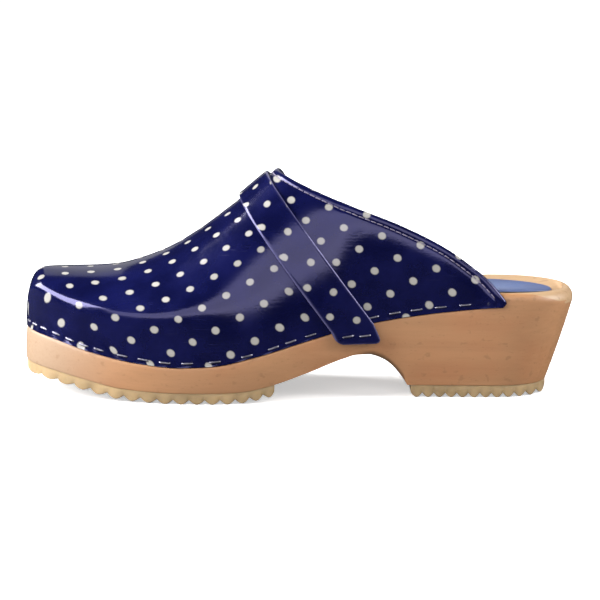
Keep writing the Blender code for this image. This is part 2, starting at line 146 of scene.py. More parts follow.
# How finely the wood is drawn: rings along it, steps round each ring, and steps along its plan
WOOD_RINGS = dict(end=30, end_from=0.02, shank=26, breast=30, breast_crowding=1.4, waist=50)
WOOD_STEPS = dict(corner=5, side=10, edge=10, footbed=22, under=8)
REBATE_STEPS = (0.33, 0.67)
PLAN_STEPS, PLAN_MARGIN = 800, 0.2

# Treads: a base with rounded ribs across it, cut to the outline of the wood
TREADS = {
    # rear and front stations, ribs and how they widen forwards, heights of base and rib, rise at the rear
    "forefoot_tread": dict(
        rear=141.0, front=257.6, ribs=16, widening=1.12, base=2.8, rib=2.1, rear_rise=0.0,
    ),
    "heel_tread": dict(
        rear=14.2, front=78.0, ribs=12, widening=1.0, base=3.3, rib=2.1, rear_rise=0.5,
    ),
}
TREAD_INSET = 0.4
TREAD_EASE, TREAD_EASE_SHARE, TREAD_EASE_STEPS = 0.6, 0.45, 4
RIB_ROUND = 0.5
RIB_TOE_FADE, RIB_TOE_FROM = 0.5, 205.0
TREAD_SEAM = 0.03
# How far the painted shade reaches from the floor of the grooves
GROOVE_SHADE_WIDTH = 0.9
RIB_STEPS = 14
HEEL_RISE_TO = 44.0

# Upper: its crown line runs from the toe over the instep, and on behind the throat as the last does
WALL = 2.2
CROWN = (
    # station, crown height, crown offset to the medial side, power of the section
    (30.0, 212.0, 2.0, 2.1),
    (62.0, 195.0, 2.0, 2.1),
    (95.0, 160.0, 2.5, 2.1),
    (104.0, 140.0, 2.7, 2.1),
    (112.0, 122.0, 2.9, 2.1),
    (117.0, 117.5, 3.0, 2.1),
    (139.5, 103.4, 3.5, 2.1),
    (162.0, 85.0, 4.0, 2.2),
    (178.0, 73.0, 4.5, 2.35),
    (190.0, 65.9, 5.0, 2.45),
    (203.0, 60.8, 5.3, 2.55),
    (215.0, 57.6, 5.6, 2.6),
    (228.0, 56.5, 5.8, 2.6),
    (258.0, 56.0, 6.0, 2.6),
)
TOE_CROWN_RUN = 11.0
TOE_CROWN_POWER = 2.9
SHOULDER = (
    # station, height of the shoulder as a share of the section's, how far the section takes that shape
    (140.0, 0.27, 0.0),
    (172.0, 0.43, 0.85),
    (185.0, 0.48, 1.0),
    (200.0, 0.53, 1.0),
    (224.0, 0.63, 1.0),
    (236.0, 0.67, 1.0),
    (250.0, 0.78, 1.0),
    (258.0, 0.85, 1.0),
)
SHOULDER_EDGE = (
    # station, how sharply the shoulder turns
    (150.0, 40.0),
    (175.0, 80.0),
    (212.0, 80.0),
    (234.0, 34.0),
    (258.0, 30.0),
)
WALL_LEAN = 0.05
THROAT_AT = 139.5
TOPLINE = (
    # station, height of the lateral edge
    (33.0, 43.0),
    (36.0, 47.0),
    (45.7, 57.4),
    (51.0, 61.7),
    (62.0, 69.4),
    (84.0, 80.5),
    (106.0, 89.3),
    (128.0, 98.5),
    (139.5, 103.4),
)
MEDIAL_WING_SHORTER = 14.0
MEDIAL_WING_LOWER = 7.0
MEDIAL_LOWER_RUN = 7.0
WING_CORNER = 3.0
UPPER_ROWS, UPPER_COLUMNS, ROW_CROWDING = 120, 220, 1.6
CHART_TURNS = 481

# The topline's turned edge: rows at these distances from it, and the leather's thickness there
HEM_ROWS = (
    9.0, 8.4, 7.8, 7.0, 6.0, 5.2, 4.5, 4.1, 3.8, 3.5, 3.2, 2.9, 2.5, 2.0, 1.5, 1.0, 0.6, 0.3, 0.1, 0.0,
)
HEM_FROM = 8.0
HEM_WALL = 2.7
HEM_OVER_RIM = 3.0
HEM_STEP = 1.0
HEM_SWELL, HEM_SWELL_RUN = 0.05, 0.45
HEM_PROBE, HEM_PROBE_LEAST = 3.0, 0.4
SEAM_DEPTH, SEAM_WIDTH = 0.35, 0.6
ROLL_DEPTH, ROLL_RUN, ROLL_FADE = 1.2, 12.0, 45.0
SHELL_WALL = 1.6
LINING_GAP, LINING_UNDER_HEM = 0.05, 0.3

# Shares of the topline's wall: radius of its edge, the outside's fall to it, what the inside keeps
EDGE_ROUND, EDGE_FALL, EDGE_KEPT = 0.48, 0.98, 0.52

# Staples along the lower edge, by the station of each one, and how the leather is drawn in round them
STAPLES = (
    256.5, 253.2, 248.4, 242.0, 235.3, 228.6, 221.4, 210.4, 200.6, 190.8, 180.5, 167.8, 153.3, 141.3,
    133.3, 124.2, 95.5, 85.6, 75.7, 64.6, 53.4,
)
STAPLE_LINE = (
    # station, height of the staples above the lower edge
    (33.0, 6.0),
    (100.0, 5.2),
    (150.0, 3.8),
    (258.0, 3.2),
)
PUCKER_DEPTH, PUCKER_TOE_DEPTH, PUCKER_ALONG, PUCKER_UP = 0.22, 0.4, 3.4, 3.6
PUCKER_SWELL, PUCKER_SWELL_ALONG, PUCKER_SWELL_UP = 0.25, 1.6, 1.4
LIP_FLARE, LIP_TOE_FLARE, LIP_UP, LIP_AT_STAPLES = 0.1, 0.05, 1.6, 0.6
STAPLE_CLEAR = 3.0
STAPLE_SHAPE = dict(dip=0.0013, bend=9.0)
STITCH_SHAPE = dict(dip=0.0006, bend=4.0)
WIRE_PROUD, WIRE_STEPS, WIRE_SIDES, WIRE_PROBE = 0.2, 11, 6, 1.0
STITCH_ENDS = 2.0

# The slow unevenness of leather drawn over a last
WAVES = (
    # depth, then for each of two crossed waves the run along the shoe, the turn per v and the start
    (0.12, (17.0, 3.0, 0.0), (41.0, 7.0, 0.0)),
    (0.072, (9.0, -5.0, 1.3), (-29.0, 11.0, 0.7)),
)

# Soft creases that the foot has worked into the wing behind the strap
CREASE_ENDS = 0.25
CREASES = (
    # station and v of the two ends, width, depth
    (112.0, -0.62, 96.0, -0.52, 2.2, 0.16),
    (110.0, -0.68, 92.0, -0.60, 1.8, 0.12),
    (108.0, -0.56, 99.0, -0.49, 1.6, 0.10),
)

# Printed dots on the vamp: columns that leave the ridge and lean back down the wall, and rows across them
DOT_PITCH = 12.45
DOT_COLUMNS = (
    # arc from the throat towards the toe, column, lean per row, bow per row squared, squeeze of the rows
    (4.6, -7.0, 7.9, 0.0, 1.0),
    (15.4, -6.0, 7.8, 0.0, 1.0),
    (36.4, -4.0, 5.9, 0.2, 1.0),
    (46.5, -3.0, 4.3, 0.36, 1.0),
    (78.8, 0.0, 1.6, 0.56, 1.0),
    (114.5, 3.0, 0.1, 1.0, 0.95),
    (126.0, 4.0, 0.0, 1.35, 0.84),
    (138.0, 5.0, 0.0, 1.6, 0.75),
    (150.5, 6.0, 0.0, 1.7, 0.72),
    (163.0, 7.0, 0.0, 1.7, 0.70),
    (169.0, 7.5, 0.0, 1.7, 0.70),
)
DOT_ROWS = (
    # girth from the ridge, row
    (0.0, 0.0),
    (12.2, 1.0),
    (25.2, 2.0),
    (38.5, 3.0),
    (50.4, 4.0),
    (62.8, 5.0),
    (76.3, 6.0),
    (91.0, 7.0),
    (106.0, 8.0),
)

# How finely the dots' places on the upper are worked out
GIRTH_TABLE = dict(rear=20.0, short=0.2, stations=240, turns=161)
HALVINGS = 48

# Dots behind the strap, in side view: a place on the lattice, the steps from dot to dot, the rows' bend
WING_DOT = dict(station=98.6, height=64.6, column=-7.0, row=6.5)
WING_COLUMN_STEP = (10.5, -5.87)
WING_ROW_STEP = (-7.12, -10.13)
WING_BEND = (-0.064, -0.232)
WING_BEND_REACH, WING_BEND_ROUNDS = 5.0, 6
BARE_TO, BARE_FADE = 45.0, 2.0

# Strap over the instep, seen from the side as a straight band that leans towards the toe
STRAP = 1.8
STRAP_REAR = dict(low_at=95.0, low=34.5, high_at=143.7, high=100.5)
STRAP_FRONT = dict(low_at=115.0, low=31.5, high_at=157.2, high=90.0)
STRAP_SEARCH = dict(behind=20.0, ahead=30.0)
TAB_BOTTOM = 25.8
TAB_CORNER = 3.2
TAB_STEP_FROM, TAB_STEP_TO = 5.0, 1.2
TAB_LEAN = 0.6
STRAP_TURNS, STRAP_ALONG, STRAP_TAB_STEPS, TAB_CROWDING = 241, 150, 18, 0.8
STRAP_SHARES = (0.0, 0.008, 0.022, 0.045, 0.08, 0.14, 0.22, 0.31, 0.4, 0.5)
STRAP_EASE, STRAP_CUT = 0.75, 0.45
STRAP_LEAN = 11.6
STRAP_WIDTH = 16.3
STRAP_DOTS = dict(along=17.0, across=15.4, first_along=16.5, first_across=4.9, drift=0.03, plain=0.25)
TAB_STAPLES = (0.3, 0.7)
TAB_STAPLE_UP = 4.2

# Pad on the heel seat
PAD = 0.9
PAD_GAP = 0.55
PAD_REAR, PAD_FRONT = 11.0, 94.0
PAD_HALF = 19.5
PAD_ROUND = 2.1
PAD_SHARES = (0.2, 0.4, 0.6, 0.75, 0.86, 0.93, 0.965, 0.985, 1.0)
PAD_TURNS = 120
PAD_EASE = 0.8
PAD_RUB = dict(at=0.8, along=22.0, across=14.0)

# Looks of the materials: a noise is its scale per metre, detail and roughness, a span bounds what shows
NOISE_SPAN = (0.3, 0.7)
GRAIN = dict(
    wander=(900.0, 2.0), wander_by=0.0006, fibres=(2600.0, 2.0), pebble_share=0.7, fibre_share=0.3,
    mottle=(55.0, 4.0),
)
WEAR = dict(
    stretch=(60.0, 260.0, 900.0), lines=(1.0, 5.0, 0.65), line_span=(0.58, 0.78),
    patches=28.0, patch_span=(0.45, 0.75),
)
DOT_EDGE = dict(rag=(1200.0, 2.0), ragged=0.02, outside=0.04, inside=0.02)
PRINTED = dict(
    deep=0.72, bright=1.25, faded=0.86, worn=0.10, rough=(0.11, 0.16), worn_rougher=0.12, dots_rougher=0.12,
    stretch=(45.0, 45.0, 1100.0), scuffs=(1.0, 4.0, 0.6), scuff_relief=0.9, dot_relief=0.35,
    bump=(0.06, 0.0004), specular=0.68, tint=(0.60, 0.57, 1.0),
)
WOOD_LAYERS = {
    # name: stretch of its noise, detail, roughness, span, strength, share of the wood's colour
    "figure": ((14.0, 120.0, 160.0), 4.0, 0.55, (0.35, 0.65), 0.4, 1.22),
    "streaks": ((26.0, 420.0, 700.0), 5.0, 0.6, (0.45, 0.75), 0.13, 0.62),
    "flecks": ((210.0, 330.0, 290.0), 2.0, 0.5, (0.62, 0.72), 0.4, 0.6),
    "pores": ((420.0, 1500.0, 1500.0), 2.0, 0.55, (0.63, 0.74), 0.28, 0.42),
}
WOOD_BLUSH = dict(stretch=(22.0, 22.0, 30.0), span=(0.42, 0.72), strength=0.7, tint=(1.02, 0.86, 0.80))
WOOD_SANDED_TOP_LIT = dict(ragged=(130.0, 2.0), ragged_by=1.4, span=(0.5, 0.9))
# Painted highlight: the wood's colour turns paler towards the toe, where the side light falls.
WOOD_TOE_SHEEN = dict(span=(-0.072, -0.124), strength=0.9)
WOOD_BREAST_SHADE = dict(span=(0.1, 0.9), strength=0.8, share=0.2)
WOOD_SURFACE = dict(rough=(0.38, 0.52), streak_relief=0.5, bump=(0.2, 0.0003), specular=0.5)
RUBBER = dict(
    cloud=(70.0, 4.0), crumb=1400.0, dull=0.8, clear=1.15, shade_in_grooves=0.45, groove_shade_share=0.45, rough=(0.42, 0.6),
    bump=(0.2, 0.0003), depth=(0.004, 0.003, 0.0012), glow=0.25,
)
PAD_LOOK = dict(
    pebble=0.8, deep=0.85, bright=1.1, rubbed=0.35, worn=0.25, rough=(0.45, 0.6), bump=(0.3, 0.0004),
)
LINING_LOOK = dict(
    pebble=0.6, deep=0.82, bright=1.12, worn=0.3, worn_share=0.6, rough=(0.72, 0.85), bump=(0.35, 0.0005),
)
STEEL = dict(dull=420.0, span=(0.45, 0.7), dull_share=0.55, rough=(0.35, 0.55))
THREAD = dict(
    twist=(3200.0, 1.0), tone=(160.0, 2.0), span=(0.35, 0.65), tone_share=0.7,
    rough=(0.5, 0.7), bump=(0.4, 0.0002),
)

# Studio, as directions from the shoe: azimuth from the camera's side (right is positive), elevation
CAMERA = dict(at=(0.79, -1285.7, 242.2), aim=(0.79, 0.0, 41.2), lens=166.1, sensor=36.0)
LIGHTS = {
    # name: azimuth, elevation, distance, width, height, power, and whether gloss mirrors the panel
    "front_low": (-9.0, 14.5, 1.9, 2.7, 0.3, 6.8, True),
    "front_middle": (-9.0, 24.0, 1.9, 2.7, 0.33, 6.3, True),
    "front_high": (-9.0, 35.5, 1.9, 2.7, 0.42, 8.3, True),
    "side_strip": (-91.0, 29.0, 1.4, 1.65, 0.9, 66.0, True),
    "back_panel": (176.0, 22.0, 2.2, 1.43, 1.26, 2.5, True),
    "overhead_panel": (-90.0, 62.0, 1.6, 1.4, 0.5, 9.0, False),
    "heel_fill": (85.0, 30.0, 1.8, 1.0, 1.0, 38.0, True),
}
FLOOR_SIZE = 30.0
FLOOR_TONE = dict(cloud=(6.0, 2.0), shares=(0.99, 1.0), rough=0.9, specular=0.1)
FLOOR_GLOW = dict(reach=(0.3, 1.2), strength=(0.5, 1.0))
FLOOR_BOUNCE = dict(diffuse=0.36, glossy=0.015)
AMBIENT = 0.02


def length(name, about, size):
    """A size that the panel shows, in metres."""
    return bpy.props.FloatProperty(name=name, description=about, default=size, unit="LENGTH")


def colour(name, about, tone):
    """A colour that the panel shows."""
    return bpy.props.FloatVectorProperty(name=name, description=about, default=tone, subtype="COLOR")


class ClogSizes(bpy.types.PropertyGroup):
    """Sizes of the printed, sewn and stapled details."""

    dot: length("Dot", "Diameter of a printed dot", 0.0035)
    grain: length("Leather grain", "Size of a pebble in the leather's grain", 0.0008)
    staple_crown: length("Staple crown", "Length of a staple's crown", 0.0056)
    staple_wire: length("Staple wire", "Thickness of a staple's wire", 0.001)
    stitch_pitch: length("Stitch pitch", "Distance from stitch to stitch", 0.0031)
    stitch_length: length("Stitch length", "Length of a stitch that shows", 0.0028)
    stitch_inset: length("Stitch inset", "Distance of the seam from the topline", 0.0033)
    thread: length("Thread", "Thickness of the thread", 0.00055)


class ClogColours(bpy.types.PropertyGroup):
    """Colours of the clog's materials."""

    navy: colour("Leather", "Colour of the leather", (0.0030, 0.0040, 0.037))
    cream: colour("Dots", "Colour of the printed dots", (0.38, 0.365, 0.33))
    # Raw leather of the cut edges, made lighter still as a painted edge highlight.
    cut_edge_and_highlight: colour("Cut edge", "Colour of the strap's cut edges", (0.11, 0.105, 0.22))
    worn: colour("Worn leather", "Colour of scuffs in the leather", (0.2, 0.2, 0.32))
    alder: colour("Wood", "Colour of the carved sides", (0.39, 0.197, 0.092))
    # Sanded wood of the rim and footbed, made paler still as painted top light where they face up.
    sanded_top_lit_alder: colour("Sanded wood", "Colour of the sanded rim", (0.46, 0.30, 0.168))
    # Painted highlight: a paler wood that stands for the side light's sheen on the toe.
    toe_sheen_alder: colour("Toe wood", "Colour of the wood at the toe", (0.34, 0.24, 0.16))
    honey: colour("Rubber", "Colour of the treads", (0.42, 0.29, 0.15))
    pad_blue: colour("Heel pad", "Colour of the heel pad", (0.055, 0.082, 0.20))
    pad_rubbed: colour("Rubbed pad", "Colour of the pad where the heel rubs it", (0.30, 0.38, 0.62))
    pad_worn: colour("Worn pad", "Colour of scuffs in the pad", (0.45, 0.50, 0.68))
    lining: colour("Lining", "Colour of the lining", (0.44, 0.30, 0.19))
    thread: colour("Thread", "Colour of the topline's thread", (0.22, 0.19, 0.27))
    steel: colour("Staples", "Colour of the staples", (0.30, 0.29, 0.35))
    floor: colour("Floor", "Colour of the studio floor", (0.93, 0.93, 0.93))


# Curves and plan of the shoe

def smooth(t):
    t = np.clip(t, 0.0, 1.0)
    return t * t * (3.0 - 2.0 * t)


def bowed(t):
    """A bow of height one between none at zero and none at one."""
    return 4.0 * t * (1.0 - t)


def quarter(steps):
    """Angles through a quarter turn."""
    return np.linspace(0.0, np.pi / 2, steps)


def hump(distance, width):
    """A soft rise of height one at no distance."""
    return np.exp(-((distance / width) ** 2))


def through(table, column):
    """A curve through one column of a table that doesn't swing past its rows."""
    at = np.array([row[0] for row in table])
    value = np.array([row[column] for row in table])
    run = np.diff(at)
    pitch = np.diff(value) / run
    slope = np.concatenate([pitch[:1], np.zeros(len(at) - 2), pitch[-1:]])
    for i in range(1, len(at) - 1):
        if pitch[i - 1] * pitch[i] > 0:
            before = 2 * run[i] + run[i - 1]
            after = run[i] + 2 * run[i - 1]
            slope[i] = (before + after) / (before / pitch[i - 1] + after / pitch[i])

    def curve(s):
        s = np.clip(np.asarray(s, float), at[0], at[-1])
        i = np.clip(np.searchsorted(at, s) - 1, 0, len(run) - 1)
        t = (s - at[i]) / run[i]
        rise = value[i] * (1 + 2 * t) * (1 - t) ** 2 + value[i + 1] * t * t * (3 - 2 * t)
        return rise + run[i] * t * (1 - t) * (slope[i] * (1 - t) - slope[i + 1] * t)

    return curve


ledge = through(SOLE_SIDE, 1)
rim = through(SOLE_SIDE, 2)
sanded_top_lit_rim = through(SANDED_TOP_LIT_RIM, 1)
arch = through(ARCH, 1)
crown = through(CROWN, 1)
crown_y = through(CROWN, 2)
section_power = through(CROWN, 3)
shoulder = through(SHOULDER, 1)
shouldered = through(SHOULDER, 2)
lateral_topline = through(TOPLINE, 1)
shoulder_edge = through(SHOULDER_EDGE, 1)
staple_above = through(STAPLE_LINE, 1)
dot_column = through(DOT_COLUMNS, 1)
dot_lean = through(DOT_COLUMNS, 2)
dot_bow = through(DOT_COLUMNS, 3)
dot_squeeze = through(DOT_COLUMNS, 4)
dot_row = through(DOT_ROWS, 1)


def round_end(reach, power):
    """Share of a half width that is left at a share of the reach towards a rounded end."""
    return (1.0 - np.clip(reach, 0.0, 1.0) ** power) ** (1.0 / power)


def plan(s, side, grow=0.0):
    """Station and Y of the outline at a nominal station, with the outline moved out by grow."""
    s = np.asarray(s, float)
    size = HALF_PLAN[side]
    heel_stretch = (HEEL_ROUND_TO + grow) / HEEL_ROUND_TO
    toe_stretch = (LENGTH + grow - TOE_ROUND_FROM) / (LENGTH - TOE_ROUND_FROM)
    at = np.where(s < HEEL_ROUND_TO, HEEL_ROUND_TO - (HEEL_ROUND_TO - s) * heel_stretch, s)
    at = np.where(s > TOE_ROUND_FROM, TOE_ROUND_FROM + (s - TOE_ROUND_FROM) * toe_stretch, at)
    heel = size["heel"] + grow
    waist = size["waist"] + grow
    ball = size["ball"] + grow
    toe_reach = (at - size["ball_at"]) / (LENGTH + grow - size["ball_at"])
    rear = heel * round_end((HEEL_ROUND_TO - at) / (HEEL_ROUND_TO + grow), HEEL_POWER)
    shank = heel + (waist - heel) * smooth((at - size["heel_at"]) / (size["waist_at"] - size["heel_at"]))
    joint = waist + (ball - waist) * smooth((at - size["waist_at"]) / (size["ball_at"] - size["waist_at"]))
    toe = ball * round_end(toe_reach, size["toe_power"]) + side * TOE_TIP_Y * smooth(toe_reach)
    half = np.where(at < size["heel_at"], rear, np.where(at < size["waist_at"], shank, joint))
    return at, side * np.where(at > size["ball_at"], toe, half)


def wing_end(side):
    """Station where the upper's lower edge ends on one side."""
    return TOPLINE[0][0] + (MEDIAL_WING_SHORTER if side == MEDIAL else 0.0)


def rebate(s, side):
    """Share of the rebate's full depth, which runs out under the end of the wing."""
    return smooth((np.asarray(s, float) - wing_end(side)) / REBATE_RUN_OUT)


def underside(s):
    s = np.asarray(s, float)
    return np.where(s <= BREAST_AT, HEEL_BASE, arch(s))


def rim_round(s):
    """Radius of the sanded edge of the footbed, which is larger round the back of the heel."""
    return RIM_ROUND + (REAR_RIM_ROUND - RIM_ROUND) * smooth(1.0 - np.asarray(s, float) / HEEL_ROUND_TO)


def footbed(s, y):
    """Height of the dished footbed behind the wings."""
    left = plan(s, LATERAL, -RIM_ROUND)[1]
    right = plan(s, MEDIAL, -RIM_ROUND)[1]
    share = np.clip((y - left) / np.maximum(right - left, FOOTBED_NARROWEST), 0.0, 1.0)
    return rim(s) - FOOTBED_DISH * bowed(share)


def heel_shift(s, z):
    """How far the undercut back of the heel has moved a point forward at a height."""
    share = (rim(s) - z) / (rim(s) - HEEL_BASE)
    return HEEL_UNDERCUT * share * np.clip(1.0 - s / BREAST_AT, 0.0, 1.0)


def toe_share(s):
    """None behind the rounding of the toe, and one at the toe's end."""
    return smooth((s - TOE_ROUND_FROM) / (LENGTH - TOE_ROUND_FROM))


def taper(s):
    """How far the foot of the sole's side lies inside its ledge."""
    front = FOREFOOT_TAPER + (TOE_TAPER - FOREFOOT_TAPER) * toe_share(s)
    return HEEL_TAPER + (front - HEEL_TAPER) * smooth((s - BREAST_AT) / HEEL_ROUND_TO)


def proud(s, side):
    """How far the outside of the upper stands out from the wood's outline at its lower edge."""
    return WALL + SEAT_GAP - REBATE * rebate(s, side)


TOE_TIP = LENGTH + float(proud(LENGTH, LATERAL))


def section(s, turn):
    """Shares of a section's half width and height at a turn from its ridge to its lower edge.

    Over the instep the section is an oval. Towards the toe it has an upright wall, a shoulder and a roof.
    """
    power = 2.0 / section_power(s)
    across = np.sin(turn)
    up = np.clip(np.cos(turn), 0.0, 1.0)
    high = shoulder(s)
    roof_half = (1.0 - WALL_LEAN * high) / np.sqrt(1.0 - high**2)
    wall = across + WALL_LEAN * up
    roof = np.hypot(across / roof_half, up)
    sharp = shoulder_edge(s)
    reach = (wall**sharp + roof**sharp) ** (-1.0 / sharp)
    share = shouldered(s)
    return (
        across**power + (reach * across - across**power) * share,
        up**power + (reach * up - up**power) * share,
    )


def last_point(s, v):
    """Station, Y and height on the upper's outside."""
    s, v = np.broadcast_arrays(np.asarray(s, float), np.asarray(v, float))
    low = ledge(s) + SEAT_GAP
    height = (crown(s) - low) * round_end(1.0 - (TOE_TIP - s) / TOE_CROWN_RUN, TOE_CROWN_POWER)
    middle = crown_y(s)
    stretch = (LENGTH - TOE_ROUND_FROM) / (TOE_TIP - TOE_ROUND_FROM)
    base = np.where(s > TOE_ROUND_FROM, TOE_ROUND_FROM + (s - TOE_ROUND_FROM) * stretch, s)
    half = np.zeros_like(s)
    for side in (LATERAL, MEDIAL):
        edge = plan(base, side, proud(LENGTH, side))[1] + side * (proud(s, side) - proud(LENGTH, side))
        half = np.where(v * side > 0, np.abs(edge - middle), half)
    across, up = section(s, np.abs(v) * np.pi / 2)
    return s, middle + np.sign(v) * half * across, low + height * up


def on_last(s, v):
    """Points on the upper's outside as one array."""
    return np.stack(last_point(s, v), axis=-1)


def topline(s, side):
    """Height of the upper's rear edge. The medial wing is shorter and lower, and alike at the throat."""
    if side == LATERAL:
        return lateral_topline(s)
    run = THROAT_AT - TOPLINE[0][0]
    ahead = THROAT_AT - s
    drop = MEDIAL_WING_LOWER * smooth(ahead / MEDIAL_LOWER_RUN)
    return lateral_topline(THROAT_AT - ahead * run / (run - MEDIAL_WING_SHORTER)) - drop


def meeting(v, height_of, low, high):
    """Station, for each v, where the upper's outside meets a line that falls towards the heel."""
    low = np.full_like(v, low)
    high = np.full_like(v, high)
    for _ in range(HALVINGS):
        middle = 0.5 * (low + high)
        above = last_point(middle, v)[2] > height_of(middle)
        low = np.where(above, middle, low)
        high = np.where(above, high, middle)
    return 0.5 * (low + high)


def topline_station(v):
    """Station of the rear edge for each v, with the wings' lower corners rounded."""
    found = np.zeros_like(v)
    for side in (LATERAL, MEDIAL):
        at = meeting(v, lambda s: topline(s, side), wing_end(side), THROAT_AT)
        above = np.clip(last_point(at, v)[2] - ledge(at) - SEAT_GAP, 0.0, WING_CORNER)
        at = at + WING_CORNER - np.sqrt(WING_CORNER**2 - (WING_CORNER - above) ** 2)
        found = np.where(v * side >= 0, at, found)
    return found


# Rows and grids of points

def walked(points):
    """Distance along rows of points, from the first of each."""
    steps = np.linalg.norm(np.diff(points, axis=-2), axis=-1)
    start = np.zeros(steps.shape[:-1] + (1,))
    return np.concatenate([start, np.cumsum(steps, axis=-1)], axis=-1)


def evenly(points, count):
    """Resamples a row of points at equal steps along it."""
    along = walked(points)
    steps = np.linspace(0.0, along[-1], count)
    return np.stack([np.interp(steps, along, points[:, axis]) for axis in range(points.shape[1])], axis=1)


def normals(grid):
    """Unit normals of a grid of points, turned away from the middle of the shoe."""
    normal = np.cross(np.gradient(grid, axis=1), np.gradient(grid, axis=0))
    normal /= np.maximum(np.linalg.norm(normal, axis=2, keepdims=True), TINY)
    outwards = np.sign(np.sum(normal[:, :, 1] * np.sign(grid[:, :, 1])))
    return normal * outwards


def eased(distance, radius):
    """How far a rounded edge falls back at a distance from it."""
    return radius - np.sqrt(radius**2 - np.clip(radius - distance, 0.0, radius) ** 2)


# Meshes

def placed(points):
    """Points of the shoe, in metres, in the frame."""
    points = np.asarray(points, float).reshape(-1, 3)
    return np.stack([ORIGIN_AT - points[:, 0], points[:, 1] + ORIGIN_Y, points[:, 2]], axis=1) * MM


def turned(directions):
    """Directions on the shoe as directions in the frame."""
    return np.asarray(directions, float) * (-1.0, 1.0, 1.0)


def finish_mesh(mesh, sharp):
    """Points the faces outwards and smooths all but the sharp edges."""
    bm = bmesh.new()
    bm.from_mesh(mesh)
    bmesh.ops.recalc_face_normals(bm, faces=bm.faces)
    bm.to_mesh(mesh)
    bm.free()
    mesh.shade_smooth()
    mesh.set_sharp_from_angle(angle=np.radians(sharp))
    return mesh


def slab(name, outer, inner, tips=None, sharp=SHARP["leather"]):
    """A closed piece between two grids of points, whose first rows close to tips where these are given."""
    rows, columns = outer.shape[:2]
    count = rows * columns
    index = np.arange(count).reshape(rows, columns)
    quads = np.stack([index[:-1, :-1], index[:-1, 1:], index[1:, 1:], index[1:, :-1]], axis=-1)
    quads = quads.reshape(-1, 4)
    faces = quads.tolist() + (quads[:, ::-1] + count).tolist()
    points = np.concatenate([outer.reshape(-1, 3), inner.reshape(-1, 3)])
    edge = list(index[:, 0]) + list(index[-1, 1:]) + list(index[-2::-1, -1])
    if tips is None:
        edge += list(index[0, -2:0:-1])
    other = [i + count for i in edge]
    if tips is not None:
        points = np.concatenate([points, np.asarray(tips, float)])
        faces += [(2 * count, b, a) for a, b in zip(index[0], index[0, 1:])]
        faces += [(2 * count + 1, a + count, b + count) for a, b in zip(index[0], index[0, 1:])]
        edge.append(2 * count)
        other.append(2 * count + 1)
    for i in range(len(edge)):
        j = (i + 1) % len(edge)
        faces.append((edge[i], edge[j], other[j], other[i]))
    mesh = bpy.data.meshes.new(name)
    mesh.from_pydata(placed(points).tolist(), [], [tuple(int(i) for i in face) for face in faces])
    return finish_mesh(mesh, sharp)


def joined_rings(rings):
    """A new mesh in the making, with faces between rings of points, and the rings' own points."""
    bm = bmesh.new()
    loops = [[bm.verts.new(p) for p in placed(ring)] for ring in rings]
    for one, two in zip(loops, loops[1:]):
        for i in range(len(one)):
            j = (i + 1) % len(one)
            bm.faces.new((one[i], one[j], two[j], two[i]))
    return bm, loops


def kept_mesh(name, bm, sharp):
    """The finished mesh of one in the making."""
    mesh = bpy.data.meshes.new(name)
    bm.to_mesh(mesh)
    bm.free()
    return finish_mesh(mesh, sharp)


def loft(name, rings, sharp=SHARP["wood"]):
    """A closed piece through rings of points that run up one side and down the other, with capped ends."""
    bm, loops = joined_rings(rings)
    for ring in (loops[0], loops[-1]):
        near = 0
        far = len(ring) - 1
        while far - near > 1:
            corners = dict.fromkeys((ring[near], ring[near + 1], ring[far - 1], ring[far]))
            bm.faces.new(tuple(corners))
            near += 1
            far -= 1
    bmesh.ops.remove_doubles(bm, verts=bm.verts, dist=WELD)
    return kept_mesh(name, bm, sharp)


def lay_out(mesh, name, chart):
    """A UV map from a chart with one pair of numbers for each point."""
    layer = mesh.uv_layers.new(name=name)
    corners = np.zeros(len(mesh.loops), np.int32)
    mesh.loops.foreach_get("vertex_index", corners)
    layer.data.foreach_set("uv", np.asarray(chart, np.float32)[corners].ravel())


def note(mesh, name, values):
    """A number for each point, for the materials to read."""
    layer = mesh.attributes.new(name, "FLOAT", "POINT")
    layer.data.foreach_set("value", np.asarray(values, np.float32).ravel())


def stations_of(mesh):
    """Station, Y and height of a mesh's points."""
    points = np.zeros(len(mesh.vertices) * 3, np.float32)
    mesh.vertices.foreach_get("co", points)
    x, y, z = points.reshape(-1, 3).T / MM
    return ORIGIN_AT - x, y - ORIGIN_Y, z


def show(name, mesh, material, slot, *nodes):
    """Puts a finished mesh on the shoe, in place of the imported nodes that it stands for."""
    if material is not None:
        mesh.materials.append(material)
    made = bpy.data.objects.new(name, mesh)
    bpy.context.scene.collection.objects.link(made)
    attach(made, BODY)
    if nodes:
        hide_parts(*nodes)


# Shader nodes

def fill(tree, socket, value):
    """Links an input to another node, or sets it to a constant."""
    if isinstance(value, bpy.types.NodeSocket):
        tree.links.new(value, socket)
    else:
        socket.default_value = value


def node(tree, kind, values=None, **settings):
    """Adds a node, with its settings, and with its inputs set to numbers or linked to other nodes."""
    made = tree.nodes.new(kind)
    for key, value in settings.items():
        setattr(made, key, value)
    for key, value in (values or {}).items():
        fill(tree, made.inputs[key], value)
    return made


def maths(tree, operation, *values):
    return node(tree, "ShaderNodeMath", dict(enumerate(values)), operation=operation).outputs[0]


def plus(tree, one, two):
    return maths(tree, "ADD", one, two)


def times(tree, one, two):
    return maths(tree, "MULTIPLY", one, two)


def vector(tree, operation, *values):
    made = node(tree, "ShaderNodeVectorMath", dict(enumerate(values)), operation=operation)
    return made.outputs["Value" if operation == "LENGTH" else "Vector"]


def ranged(tree, value, from_min, from_max, to_min=0.0, to_max=1.0, kind="SMOOTHSTEP"):
    values = {"Value": value, "From Min": from_min, "From Max": from_max, "To Min": to_min, "To Max": to_max}
    return node(tree, "ShaderNodeMapRange", values, interpolation_type=kind).outputs[0]


